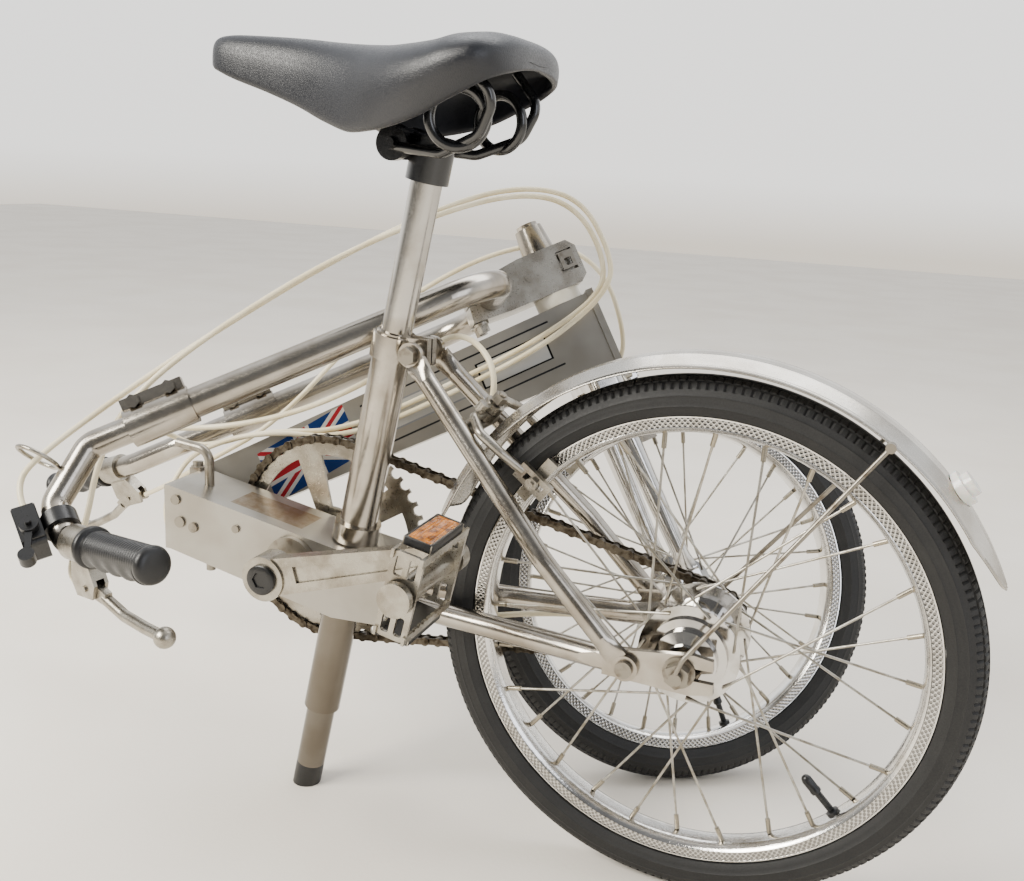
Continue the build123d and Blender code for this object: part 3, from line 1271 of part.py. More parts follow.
def along_beam(drop):
    """Run of a cable down the front beam's side, then over its top edge to the hinge."""
    return [front_point(-90, -31, 262 - drop), front_point(-235, -30.5, 258 - drop),
            front_point(-305, -32 - drop, 290), front_point(-372, -14 - drop, 300)]


CABLE_BEND = 60.0           # widest arc a cable takes where it has room
CABLE_FILL = 0.92           # share of the room at a corner that the arc uses


def cable_paths():
    """Route of each cable as straight runs between points, joined by tangent arcs."""
    ring = fork_point(-468, -133, 326)
    near = lever_at(NEAR_HANDLE, NEAR_LEVER_SIDE)
    far = lever_at(FAR_HANDLE, FAR_LEVER_SIDE)
    shift = FORK_FRAME * shifter_frame()
    rear_tail = (rear_brake_place() * Pos(12, 17, 3.5)).position
    return {
        "cable_rear_brake": [
            (near * Pos(-21, 0, 36)).position, (near * Pos(-44, 0, 34)).position,
            fork_point(-462, -112, 262),
            fork_point(-432, -100, 314), *arch(0.0), *along_beam(0.0), Vector(-522, 40, 300),
            Vector(-520, 8, 312),
            Vector(-440, 24, 320), Vector(-352, 33, 350), Vector(-262, 40, 406), Vector(-222, 38, 430),
            rear_tail + Vector(4, 0, 32), rear_tail + Vector(0, 0, 6.6),
        ],
        "cable_gear": [
            (shift * Pos(22, -2, 21)).position, (shift * Pos(44, -4, 22)).position,
            ring + Vector(-6, -2, -2),
            *arch(7.0), *along_beam(8.0), Vector(-512, 36, 262), Vector(-506, 8, 236), Vector(-488, 0, 204),
            Vector(-440, 14, 198), Vector(-320, 22, 170), Vector(-236, 24, 170), Vector(-160, 46, 187),
            Vector(-60, 72, 192), Vector(-24, 90, 206), Vector(0, 84.5, REAR_TYRE_R),
        ],
        "cable_front_brake": [
            (far * Pos(-21, 0, 36)).position, (far * Pos(-48, 0, 34)).position, fork_point(-380, 100, 292),
            fork_point(-300, 96, 300), fork_point(-180, 66, 352), fork_point(-60, 42, 372),
            fork_point(28, 36, 358),
            fork_point(66, 40, 310), fork_point(62, 56, 240), fork_point(44, 66, 214),
            fork_point(21.5, 52, 206), fork_point(21, 21.9, 204),
        ],
    }


def lever_at(points, side):
    """Location of a brake lever in the bike frame."""
    return FORK_FRAME * lever_frame(points, *side)


def rear_brake_place():
    """Location of the rear brake's pivot."""
    return brake_frame(*rear_brake_axes())


def front_brake_place():
    """Location of the front brake's pivot."""
    return FORK_FRAME * Pos(9.0, 0, FRONT_BRAKE_Z)


def cable(points):
    """One cable along its route."""
    path = FilletPolyline(*points, radius=cable_radii(points))
    return sweep(Plane(origin=path @ 0, z_dir=path % 0) * Circle(CABLE_R), path=path)


def cable_radii(points):
    """Arc at each corner: as wide as the corner has room for, up to the widest."""
    radii = []
    for a, b, c in zip(points, points[1:], points[2:]):
        u, v = (a - b).normalized(), (c - b).normalized()
        half = acos(max(-1.0, min(1.0, u.dot(v)))) / 2
        room = min((a - b).length, (c - b).length) / 2 * tan(half)
        radii.append(min(CABLE_BEND, CABLE_FILL * room))
    return radii


# ================================================================ assembly
def build_parts():
    """Every node by name, each placed in the bike frame."""
    nodes = {}
    rear_wheel_at = Plane(origin=(0, 0, REAR_TYRE_R), x_dir=(1, 0, 0), z_dir=(0, 1, 0)).location
    front_wheel_at = FORK_FRAME * Plane(origin=(0, 0, 0), x_dir=(1, 0, 0), z_dir=(0, 1, 0)).location

    nodes["tyre_rear"] = rear_wheel_at * tyre(REAR_TYRE_R)
    nodes["rim_rear"] = rear_wheel_at * group(rim(REAR_TYRE_R), valve(REAR_TYRE_R, 45.0))
    nodes["spokes_rear"] = rear_wheel_at * spokes(REAR_TYRE_R, REAR_SPOKES, REAR_FLANGE_R, REAR_FLANGE_Y)
    nodes["hub_rear"] = rear_wheel_at * rear_hub() - nodes["spokes_rear"]
    nodes["tyre_front"] = front_wheel_at * tyre(FRONT_TYRE_R)
    nodes["rim_front"] = front_wheel_at * group(rim(FRONT_TYRE_R), valve(FRONT_TYRE_R, 96.0))
    nodes["spokes_front"] = front_wheel_at * spokes(FRONT_TYRE_R, FRONT_SPOKES, FRONT_FLANGE_R,
        FRONT_FLANGE_Y)
    nodes["hub_front"] = front_wheel_at * front_hub() - nodes["spokes_front"]

    nodes["rear_beam"] = rear_beam() + beam_end_plate()
    nodes["bottom_bracket"] = bottom_bracket()
    nodes["pillar_sleeve"] = group(pillar_sleeve(), sleeve_collar())
    nodes["seat_stay_left"] = seat_stay(-1)
    nodes["seat_stay_right"] = seat_stay(1)
    nodes["chain_stays"] = group(chain_stay(-1), chain_stay(1), dropout(-1), dropout(1))
    nodes["frame_bolts"] = group(stay_bolt(), dropout_screws(), beam_fasteners())
    nodes["axle_rear"] = rear_axle()
    nodes["mudguard"] = mudguard()
    nodes["mudguard_stays"] = mudguard_stays()
    nodes["rear_lamp"] = rear_reflector()
    nodes["hinge_rear"] = group(rear_hinge(), hinge_pin())
    nodes["lock_rod"] = lock_rod()

    nodes["chain"] = chain()
    nodes["chainring"] = chainring()
    nodes["sprocket"] = sprocket()
    nodes["spindle"] = group(spindle(), crank_caps())
    nodes["crank_left"] = group(crank(-1), pedal_axle(-1))
    nodes["crank_right"] = group(crank(1), pedal_axle(1))
    nodes["pedal_left"] = group(*pedal(-1, 78.0))
    nodes["pedal_right"] = group(*pedal(1, 0.0))

    nodes["pillar"] = pillar()
    nodes["pillar_foot"] = pillar_foot()
    nodes["saddle_clamp"] = saddle_clamp()
    nodes["saddle_rails"] = saddle_rails()
    nodes["saddle"] = saddle()

    pivot = rear_brake_axes()[0]
    rear_brake_at = rear_brake_place()
    rear_reach = Vector(pivot.X, 0, pivot.Z - REAR_TYRE_R).length - (rim_outer(REAR_TYRE_R) - RIM_H / 2)
    nodes["brake_bridge"] = group(brake_bridge(), rear_brake_at * brake_bolt(9.0))
    front_brake_at = front_brake_place()
    front_reach = FRONT_BRAKE_Z - (rim_outer(FRONT_TYRE_R) - RIM_H / 2)
    brakes = (("rear", rear_brake_at, rear_reach, 12.0), ("front", front_brake_at, front_reach, 3.0))
    for end, place, reach, centre in brakes:
        for side, layer, name in ((-1, 0, "left"), (1, 1, "right")):
            pad, holder = brake_shoe(side, reach, layer, centre)
            arm = brake_arm(side, reach, layer)
            nodes[end + "_brake_arm_" + name] = place * group(arm, pad, holder)

    nodes["front_beam"] = FRONT_FRAME * group(front_beam() + head_tube() + front_end_plate(), head_cap())
    nodes["head_bushes"] = FRONT_FRAME * head_bushes()
    nodes["hinge_front"] = FRONT_FRAME * front_hinge()

    tube, cap, plug = steerer()
    nodes["steerer"] = FORK_FRAME * group(tube, cap, plug)
    nodes["fork"] = FORK_FRAME * group(fork(), Pos(9.0, 0, FRONT_BRAKE_Z) * brake_bolt(30.0))
    nodes["axle_front"] = FORK_FRAME * front_axle()
    nodes["stem"] = FORK_FRAME * group(stem(), stem_bolts())
    nodes["stem_latch"] = FORK_FRAME * stem_latch()

    nodes["handlebar"] = FORK_FRAME * handlebar()
    near_sleeve, near_bolts = clamp_sleeve(BAR_NEAR_END, -1)
    far_sleeve, far_bolts = clamp_sleeve(BAR_FAR_END, 1)
    nodes["bar_sleeves"] = FORK_FRAME * group(near_sleeve, near_bolts, far_sleeve, far_bolts)
    nodes["handle_tubes"] = FORK_FRAME * group(handle_tube(NEAR_HANDLE, 16.0),
        handle_tube(FAR_HANDLE, 24.0))
    nodes["grips"] = FORK_FRAME * group(grip(NEAR_HANDLE), grip(FAR_HANDLE))
    near_lever_at = lever_at(NEAR_HANDLE, NEAR_LEVER_SIDE)
    far_lever_at = lever_at(FAR_HANDLE, FAR_LEVER_SIDE)
    nodes["lever_brackets"] = group(*[at * group(lever_bracket(), lever_pin()) for at in (near_lever_at,
        far_lever_at)],
                                    FORK_FRAME * cable_ring())
    nodes["brake_lever_near"] = near_lever_at * brake_lever(96.0, 0.0)
    nodes["brake_lever_far"] = far_lever_at * brake_lever(96.0, 0.0)
    case, plate = shifter()
    nodes["shifter"] = FORK_FRAME * shifter_frame() * group(case, plate)
    nodes["gear_lever"] = FORK_FRAME * shifter_frame() * gear_lever()
    for name, points in cable_paths().items():
        nodes[name] = cable(points)
    return nodes


if __name__ == "__main__":
    os.makedirs("parts", exist_ok=True)
    built = {name: group(shape) for name, shape in build_parts().items()}
    boxes = [shape.bounding_box() for shape in built.values()]
    low = [min(getattr(box.min, axis) for box in boxes) for axis in "XYZ"]
    high = [max(getattr(box.max, axis) for box in boxes) for axis in "XYZ"]
    to_row = Pos(-(low[0] + high[0]) / 2, -(low[1] + high[1]) / 2, -low[2])
    print("moved to the row frame by", to_row.position)
    for name, shape in built.items():
        export_step(to_row * shape, "parts/" + name + ".step")
    for name, points in cable_paths().items():
        print(name, "arc radii", [round(r, 1) for r in cable_radii(points)])
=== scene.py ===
import json
import logging
import math
from dataclasses import dataclass, field
from enum import Enum
from typing import Any, Callable, ClassVar

import bmesh
import bpy
import numpy as np
from mathutils import Matrix, Vector


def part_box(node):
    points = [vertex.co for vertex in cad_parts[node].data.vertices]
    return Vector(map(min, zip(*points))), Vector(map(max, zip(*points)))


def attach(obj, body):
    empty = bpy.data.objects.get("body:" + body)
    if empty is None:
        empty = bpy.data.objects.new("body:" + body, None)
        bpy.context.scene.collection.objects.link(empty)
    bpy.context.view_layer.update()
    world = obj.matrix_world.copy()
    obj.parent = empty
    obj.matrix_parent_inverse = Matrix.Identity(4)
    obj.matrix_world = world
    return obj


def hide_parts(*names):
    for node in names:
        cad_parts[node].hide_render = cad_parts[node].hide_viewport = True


# The dress of a small-wheeled bicycle in its folded state: finishes for every part of the frame, and
# surfaces for the tyres, rims, mudguard, saddle, grips, lenses and cables. Lengths are in metres.

log = logging.getLogger("bicycle")
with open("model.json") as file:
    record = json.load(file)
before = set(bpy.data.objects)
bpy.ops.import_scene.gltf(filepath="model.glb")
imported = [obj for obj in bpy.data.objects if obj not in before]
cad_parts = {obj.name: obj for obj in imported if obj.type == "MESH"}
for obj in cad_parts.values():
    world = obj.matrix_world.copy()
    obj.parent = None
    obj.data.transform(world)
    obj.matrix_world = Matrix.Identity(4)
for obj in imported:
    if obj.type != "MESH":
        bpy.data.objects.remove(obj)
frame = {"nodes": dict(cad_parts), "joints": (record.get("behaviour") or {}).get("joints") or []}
NODES: dict[str, bpy.types.Object] = frame["nodes"]
JOINTS: dict[str, dict[str, Any]] = {j["name"]: j for j in frame["joints"]}
MM = 0.001
KNURL_CELL_MM = 4.2

Array = np.ndarray


# ------------------------------------------------------------------ node and colour helpers
def srgb(text: str) -> tuple[float, float, float, float]:
    """Linear colour of an sRGB hex value.

    Args:
        text: six hex digits with a leading hash.

    Returns:
        Linear red, green, blue and an alpha of one.
    """
    parts = [int(text[i:i + 2], 16) / 255 for i in (1, 3, 5)]
    linear = [c / 12.92 if c <= 0.04045 else ((c + 0.055) / 1.055) ** 2.4 for c in parts]
    return (linear[0], linear[1], linear[2], 1.0)


def add(tree: bpy.types.NodeTree, kind: str, inputs: dict[Any, Any] | None = None, **settings: Any) -> bpy.types.Node:
    """Adds one node.

    Args:
        tree: the material's or world's node tree.
        kind: the node's type name.
        inputs: socket name or number to a constant, or to the output that feeds it.
        settings: the node's own properties.

    Returns:
        The new node.
    """
    node = tree.nodes.new(kind)
    for name, value in settings.items():
        setattr(node, name, value)
    for name, value in (inputs or {}).items():
        if isinstance(value, bpy.types.NodeSocket):
            tree.links.new(value, node.inputs[name])
        else:
            node.inputs[name].default_value = value
    return node


# ------------------------------------------------------------------ finishes
@dataclass(frozen=True)
class Finish:
    """A surface: two colours in soft patches, a fine grain in bump and roughness, and in the corners a dark colour:
    speckled grime, mostly painted shade laid by ambient occlusion.
    """

    name: str
    colour: str
    second: str
    metallic: float = 0.0
    rough: tuple[float, float] = (0.35, 0.5)
    patch_mm: float = 30.0
    patch_span: tuple[float, float] = (0.4, 0.65)
    grain_mm: float = 1.2
    grain_depth_mm: float = 0.05
    stretch: tuple[float, float, float] = (1.0, 1.0, 1.0)
    # Colour and reach of the corner darkening: speckled grime, mostly painted shade from ambient occlusion.
    grime_and_shade: str = ""
    grime_and_shade_mm: float = 5.0
    coat: float = 0.0
    ior: float = 1.5

    def body(self, tree: bpy.types.NodeTree, coords: bpy.types.NodeSocket) -> bpy.types.NodeSocket:
        """Colour of the clean surface: the second colour lies over the first in patches."""
        broad = add(tree, "ShaderNodeTexNoise", {"Vector": coords, "Scale": 1000 / self.patch_mm, "Detail": 3.0})
        share = add(tree, "ShaderNodeMapRange", {
            "Value": broad.outputs["Fac"], "From Min": self.patch_span[0], "From Max": self.patch_span[1]})
        mix = add(tree, "ShaderNodeMix", {
            0: share.outputs["Result"], 6: srgb(self.colour), 7: srgb(self.second)}, data_type="RGBA")
        return mix.outputs[2]

    def height(self, tree: bpy.types.NodeTree, coords: bpy.types.NodeSocket) -> bpy.types.NodeSocket:
        """Height of the grain, from nought to one."""
        run = add(tree, "ShaderNodeMapping", {"Vector": coords, "Scale": self.stretch})
        noise = add(tree, "ShaderNodeTexNoise", {
            "Vector": run.outputs["Vector"], "Scale": 1000 / self.grain_mm, "Detail": 4.0, "Roughness": 0.6})
        return noise.outputs["Fac"]

    def finish_shader(self, tree: bpy.types.NodeTree, shader: bpy.types.Node, coords: bpy.types.NodeSocket) -> None:
        """Hook for sockets that only some finishes use."""

    def make(self) -> bpy.types.Material:
        """Builds the material.

        Returns:
            A material of this finish, made once and shared by every part that wears it.
        """
        if self.name in bpy.data.materials:
            return bpy.data.materials[self.name]
        material = bpy.data.materials.new(self.name)
        material.use_nodes = True
        tree = material.node_tree
        tree.nodes.clear()
        coords = add(tree, "ShaderNodeTexCoord").outputs["Object"]
        colour = self.body(tree, coords)
        height = self.height(tree, coords)
        # Painted shade with some dirt: a dark colour is laid into corners and crevices where ambient occlusion finds
        # nearby geometry, broken up by a speckle noise.
        if self.grime_and_shade:
            corner = add(tree, "ShaderNodeAmbientOcclusion", {"Distance": self.grime_and_shade_mm * MM}, samples=6)
            speck = add(tree, "ShaderNodeTexNoise", {"Vector": coords, "Scale": 260.0, "Detail": 3.0})
            wide = add(tree, "ShaderNodeMath", {0: speck.outputs["Fac"], 1: 0.9, 2: 0.15}, operation="MULTIPLY_ADD")
            dirt_and_shade = add(tree, "ShaderNodeMath", {0: wide.outputs[0], 1: corner.outputs["AO"]}, operation="SUBTRACT")
            share = add(tree, "ShaderNodeMapRange", {
                "Value": dirt_and_shade.outputs[0], "From Min": 0.0, "From Max": 0.45, "To Max": 0.7})
            colour = add(tree, "ShaderNodeMix", {
                0: share.outputs["Result"], 6: colour, 7: srgb(self.grime_and_shade)}, data_type="RGBA").outputs[2]
        rough = add(tree, "ShaderNodeMapRange", {
            "Value": height, "From Min": 0.3, "From Max": 0.7, "To Min": self.rough[0], "To Max": self.rough[1]})
        bump = add(tree, "ShaderNodeBump", {
            "Height": height, "Strength": 1.0, "Distance": self.grain_depth_mm * MM})
        shader = add(tree, "ShaderNodeBsdfPrincipled", {
            "Base Color": colour, "Metallic": self.metallic, "Roughness": rough.outputs["Result"],
            "IOR": self.ior, "Coat Weight": self.coat, "Coat Roughness": 0.12, "Normal": bump.outputs["Normal"]})
        self.finish_shader(tree, shader, coords)
        add(tree, "ShaderNodeOutputMaterial", {"Surface": shader.outputs[0]})
        return material


@dataclass(frozen=True)
class KnurledRim(Finish):
    """Chromed steel rim: its braking bands are rolled with a diamond knurl, the rest is mirror bright.

    The mesh carries its own map: u runs round the rim and v across the section, both in metres.
    """

    cell_mm: float = KNURL_CELL_MM
    bands: tuple[tuple[float, float], ...] = ()

    def knurl(self, tree: bpy.types.NodeTree) -> bpy.types.NodeSocket:
        """Diamond cells inside the bands: two slanted waves multiplied, nought outside the bands."""
        uv = add(tree, "ShaderNodeUVMap", uv_map="UVMap")
        parts = add(tree, "ShaderNodeSeparateXYZ", {"Vector": uv.outputs["UV"]})
        waves = []
        for sign in (1.0, -1.0):
            slant = add(tree, "ShaderNodeMath", {0: parts.outputs["Y"], 1: sign, 2: parts.outputs["X"]},
                        operation="MULTIPLY_ADD")
            phase = add(tree, "ShaderNodeMath", {0: slant.outputs[0], 1: math.pi * 1000 / self.cell_mm},
                        operation="MULTIPLY")
            wave = add(tree, "ShaderNodeMath", {0: phase.outputs[0]}, operation="SINE")
            waves.append(add(tree, "ShaderNodeMath", {0: wave.outputs[0]}, operation="ABSOLUTE").outputs[0])
        cells = add(tree, "ShaderNodeMath", {0: waves[0], 1: waves[1]}, operation="MULTIPLY")
        inside = None
        for low, high in self.bands:
            middle, half = (low + high) / 2, (high - low) / 2
            away = add(tree, "ShaderNodeMath", {0: parts.outputs["Y"], 1: middle}, operation="SUBTRACT")
            size = add(tree, "ShaderNodeMath", {0: away.outputs[0]}, operation="ABSOLUTE")
            gate = add(tree, "ShaderNodeMath", {0: size.outputs[0], 1: half}, operation="LESS_THAN").outputs[0]
            inside = gate if inside is None else add(
                tree, "ShaderNodeMath", {0: inside, 1: gate}, operation="MAXIMUM").outputs[0]
        return add(tree, "ShaderNodeMath", {0: cells.outputs[0], 1: inside}, operation="MULTIPLY").outputs[0]

    def body(self, tree: bpy.types.NodeTree, coords: bpy.types.NodeSocket) -> bpy.types.NodeSocket:
        """Chrome, with painted shade darkening the furrows between the diamonds."""
        base = super().body(tree, coords)
        cells = self.knurl(tree)
        # Painted shade: the knurl's recesses get a darker colour.
        share = add(tree, "ShaderNodeMapRange", {
            "Value": cells, "From Min": 0.0, "From Max": 0.5, "To Min": 0.0, "To Max": 0.85})
        return add(tree, "ShaderNodeMix", {
            0: share.outputs["Result"], 6: base, 7: srgb("#6F6D69")}, data_type="RGBA").outputs[2]

    def height(self, tree: bpy.types.NodeTree, coords: bpy.types.NodeSocket) -> bpy.types.NodeSocket:
        """Fine pits plus the knurl."""
        pits = super().height(tree, coords)
        cells = self.knurl(tree)
        return add(tree, "ShaderNodeMath", {0: cells, 1: -2.5, 2: pits}, operation="MULTIPLY_ADD").outputs[0]


@dataclass(frozen=True)
class BeadedLacing(Finish):
    """Zinc-plated spokes with duller nipples where they enter the rim."""

    nipple: str = "#9C9484"
    centre: tuple[float, float, float] = (0.0, 0.0, 0.0)
    nipple_from: float = 0.15

    def body(self, tree: bpy.types.NodeTree, coords: bpy.types.NodeSocket) -> bpy.types.NodeSocket:
        """Zinc, and the nipples' tone beyond a distance from the hub."""
        base = super().body(tree, coords)
        away = add(tree, "ShaderNodeVectorMath", {0: coords, 1: self.centre}, operation="DISTANCE")
        far = add(tree, "ShaderNodeMath", {0: away.outputs["Value"], 1: self.nipple_from}, operation="GREATER_THAN")
        return add(tree, "ShaderNodeMix", {0: far.outputs[0], 6: base, 7: srgb(self.nipple)},
                   data_type="RGBA").outputs[2]


@dataclass(frozen=True)
class StripedBeam(Finish):
    """Satin beam with a plain transfer: a red, white and blue flag at the hinge end and pinstripes to the head.

    The pattern lies in the beam's own terms, so the object coordinates are turned into them first.
    """

    place: Matrix = field(default_factory=Matrix)
    flag_at: tuple[float, float] = (-0.276, 0.2535)
    flag_size: tuple[float, float] = (0.092, 0.05)

    def beam_coords(self, tree: bpy.types.NodeTree, coords: bpy.types.NodeSocket) -> bpy.types.Node:
        """The beam's own X along it, Y across it and Z up the head."""
        inverse = self.place.inverted()
        turn = add(tree, "ShaderNodeMapping", {
            "Vector": coords, "Location": inverse.to_translation(), "Rotation": inverse.to_euler()})
        return add(tree, "ShaderNodeSeparateXYZ", {"Vector": turn.outputs["Vector"]})

    def within(self, tree: bpy.types.NodeTree, value: bpy.types.NodeSocket, middle: float, half: float,
               ) -> bpy.types.NodeSocket:
        """One where a value lies within half of middle, else nought."""
        away = add(tree, "ShaderNodeMath", {0: value, 1: middle}, operation="SUBTRACT")
        size = add(tree, "ShaderNodeMath", {0: away.outputs[0]}, operation="ABSOLUTE")
        return add(tree, "ShaderNodeMath", {0: size.outputs[0], 1: half}, operation="LESS_THAN").outputs[0]

    def both(self, tree: bpy.types.NodeTree, *masks: bpy.types.NodeSocket) -> bpy.types.NodeSocket:
        """Product of several masks."""
        made = masks[0]
        for mask in masks[1:]:
            made = add(tree, "ShaderNodeMath", {0: made, 1: mask}, operation="MULTIPLY").outputs[0]
        return made

    def paint(self, tree: bpy.types.NodeTree, under: bpy.types.NodeSocket, mask: bpy.types.NodeSocket,
              colour: str) -> bpy.types.NodeSocket:
        """Lays a colour over another where a mask is one."""
        return add(tree, "ShaderNodeMix", {0: mask, 6: under, 7: srgb(colour)}, data_type="RGBA").outputs[2]

    def body(self, tree: bpy.types.NodeTree, coords: bpy.types.NodeSocket) -> bpy.types.NodeSocket:
        """Silver, then the pinstripes, then the flag's fields and crosses."""
        base = super().body(tree, coords)
        own = self.beam_coords(tree, coords)
        x, y, z = own.outputs["X"], own.outputs["Y"], own.outputs["Z"]
        near = add(tree, "ShaderNodeMath", {0: y, 1: -0.0255}, operation="LESS_THAN").outputs[0]
        slope = 0.018
        line = add(tree, "ShaderNodeMath", {0: x, 1: -slope, 2: z}, operation="MULTIPLY_ADD").outputs[0]
        for level, half, start, end, tint in (
                (0.2795, 0.0009, -0.215, -0.02, "#2B2C30"), (0.2365, 0.0009, -0.215, -0.02, "#2B2C30"),
                (0.258, 0.0128, -0.2, -0.112, "#8E9094"), (0.258, 0.0112, -0.198, -0.114, "#C9C8C4"),
                (0.258, 0.0128, -0.1, -0.028, "#17181A"), (0.258, 0.0112, -0.098, -0.03, "#D3D2CE")):
            along = self.within(tree, x, (start + end) / 2, (end - start) / 2)
            mask = self.both(tree, near, along, self.within(tree, line, level, half))
            base = self.paint(tree, base, mask, tint)
        cx, cz = self.flag_at
        w, h = self.flag_size
        u = add(tree, "ShaderNodeMath", {0: x, 1: -cx}, operation="ADD").outputs[0]
        lean = add(tree, "ShaderNodeMath", {0: u, 1: -0.12, 2: z}, operation="MULTIPLY_ADD").outputs[0]
        v = add(tree, "ShaderNodeMath", {0: lean, 1: -cz}, operation="ADD").outputs[0]
        flag = self.both(tree, near, self.within(tree, u, 0.0, w / 2), self.within(tree, v, 0.0, h / 2))
        base = self.paint(tree, base, flag, "#24407E")
        for factor in (h / w, -h / w):
            slant = add(tree, "ShaderNodeMath", {0: u, 1: factor, 2: v}, operation="MULTIPLY_ADD").outputs[0]
            for half, tint in ((0.0062, "#E6E4E0"), (0.0022, "#B9303A")):
                base = self.paint(tree, base, self.both(tree, flag, self.within(tree, slant, 0.0, half)), tint)
        for value, half, tint in ((u, 0.0088, "#E6E4E0"), (v, 0.0088, "#E6E4E0"),
                                  (u, 0.0052, "#B9303A"), (v, 0.0052, "#B9303A")):
            base = self.paint(tree, base, self.both(tree, flag, self.within(tree, value, 0.0, half)), tint)
        return base


@dataclass(frozen=True)
class LabelledBeam(Finish):
    """Satin beam with a rubbed brown patch on its top face, where a transfer has worn away."""

    patch_at: tuple[float, float, float] = (0.0, 0.0, 0.0)
    patch_half: tuple[float, float, float] = (0.03, 0.016, 0.01)

    def body(self, tree: bpy.types.NodeTree, coords: bpy.types.NodeSocket) -> bpy.types.NodeSocket:
        """Silver, and in the patch a brown that noise has eaten away."""
        base = super().body(tree, coords)
        away = add(tree, "ShaderNodeVectorMath", {0: coords, 1: self.patch_at}, operation="SUBTRACT")
        size = add(tree, "ShaderNodeVectorMath", {0: away.outputs[0]}, operation="ABSOLUTE")
        inside = add(tree, "ShaderNodeSeparateXYZ", {"Vector": size.outputs[0]})
        mask = None
        for axis, half in zip("XYZ", self.patch_half):
            gate = add(tree, "ShaderNodeMath", {0: inside.outputs[axis], 1: half}, operation="LESS_THAN").outputs[0]
            mask = gate if mask is None else add(tree, "ShaderNodeMath", {0: mask, 1: gate},
                                                 operation="MULTIPLY").outputs[0]
        worn = add(tree, "ShaderNodeTexNoise", {"Vector": coords, "Scale": 120.0, "Detail": 6.0, "Roughness": 0.65})
        left = add(tree, "ShaderNodeMapRange", {
            "Value": worn.outputs["Fac"], "From Min": 0.36, "From Max": 0.62, "To Min": 0.55})
        share = add(tree, "ShaderNodeMath", {0: mask, 1: left.outputs["Result"]}, operation="MULTIPLY")
        return add(tree, "ShaderNodeMix", {0: share.outputs[0], 6: base, 7: srgb("#7D6A52")},
                   data_type="RGBA").outputs[2]


@dataclass(frozen=True)
class FootedTube(Finish):
    """A tube that stands on the floor when folded: darker and browner towards the bottom, below its bush."""

    lower_tone: str = "#5F584E"
    plain_above: float = 0.2
    darkest_below: float = 0.13

    def body(self, tree: bpy.types.NodeTree, coords: bpy.types.NodeSocket) -> bpy.types.NodeSocket:
        """The tube's colour above, a darker brown below, meeting in a ragged edge."""
        upper_tone = super().body(tree, coords)
        place = add(tree, "ShaderNodeSeparateXYZ", {"Vector": coords})
        ragged = add(tree, "ShaderNodeTexNoise", {"Vector": coords, "Scale": 90.0, "Detail": 4.0})
        edge = add(tree, "ShaderNodeMath", {0: ragged.outputs["Fac"], 1: 0.05, 2: place.outputs["Z"]},
                   operation="MULTIPLY_ADD")
        share = add(tree, "ShaderNodeMapRange", {
            "Value": edge.outputs[0], "From Min": self.plain_above, "From Max": self.darkest_below, "To Max": 0.85})
        mix = add(tree, "ShaderNodeMix", {0: share.outputs["Result"], 6: upper_tone, 7: srgb(self.lower_tone)},
                  data_type="RGBA")
        return mix.outputs[2]


@dataclass(frozen=True)
class PrismLens(Finish):
    """Reflector moulding: rows of small pyramids behind a clear skin."""

    cell_mm: float = 3.0

    def height(self, tree: bpy.types.NodeTree, coords: bpy.types.NodeSocket) -> bpy.types.NodeSocket:
        """Pyramids from a cellular pattern, which is even enough at this size."""
        cells = add(tree, "ShaderNodeTexVoronoi", {
            "Vector": coords, "Scale": 1000 / self.cell_mm, "Randomness": 0.12}, distance="CHEBYCHEV")
        return cells.outputs["Distance"]

    def finish_shader(self, tree: bpy.types.NodeTree, shader: bpy.types.Node, coords: bpy.types.NodeSocket) -> None:
        """A little light comes back from inside the lens."""
        shader.inputs["Subsurface Weight"].default_value = 0.25
        shader.inputs["Subsurface Scale"].default_value = 0.004


@dataclass(frozen=True)
class GrainedSkin(Finish):
    """Leather-look moulding: cell-shaped pebbles with fine wrinkles between them."""

    def height(self, tree: bpy.types.NodeTree, coords: bpy.types.NodeSocket) -> bpy.types.NodeSocket:
        """Pebbles from the distance to cell edges, softened by noise."""
        bend = add(tree, "ShaderNodeTexNoise", {"Vector": coords, "Scale": 300.0, "Detail": 2.0})
        moved = add(tree, "ShaderNodeVectorMath", {0: bend.outputs["Color"], 1: (0.002, 0.002, 0.002), 2: coords},
                    operation="MULTIPLY_ADD")
        cells = add(tree, "ShaderNodeTexVoronoi", {
            "Vector": moved.outputs[0], "Scale": 1000 / self.grain_mm}, feature="DISTANCE_TO_EDGE")
        raised = add(tree, "ShaderNodeMapRange", {
            "Value": cells.outputs["Distance"], "From Max": 0.25}, interpolation_type="SMOOTHSTEP")
        return raised.outputs["Result"]


# What each part is made of. Grain sizes are in millimetres; those finer than about a millimetre are drawn at a
# millimetre or so, because they would not show at this distance. The dark corner colour given to a finish is painted
# shade mixed with speckled dirt.
BEAM_LOOK: dict[str, Any] = {  # drawn aluminium box, satin anodised: a soft pale sheen with faint draw lines
    "colour": "#A8A49C", "second": "#99948A", "metallic": 0.9, "rough": (0.28, 0.38), "patch_mm": 60.0,
    "grain_mm": 1.4, "grain_depth_mm": 0.004, "grime_and_shade": "#857C6E", "grime_and_shade_mm": 3.0}
TUBE_ALLOY = Finish(  # drawn aluminium tube, buffed then hand-worn: bright with cloudy rub marks
    "buffed_aluminium_tube", "#B0AAA0", "#958D81", 1.0, (0.16, 0.27), 34.0, grain_mm=1.8, grain_depth_mm=0.0022,
    grime_and_shade="#6B6255", grime_and_shade_mm=3.0)
PILLAR_ALLOY = FootedTube(  # polished tube that slides in its bush: bright above, darker towards its foot
    "polished_pillar_tube", "#BFBBB4", "#A39D93", 1.0, (0.12, 0.24), 30.0, grain_mm=1.8, grain_depth_mm=0.002,
    grime_and_shade="#5F574B", grime_and_shade_mm=3.0)
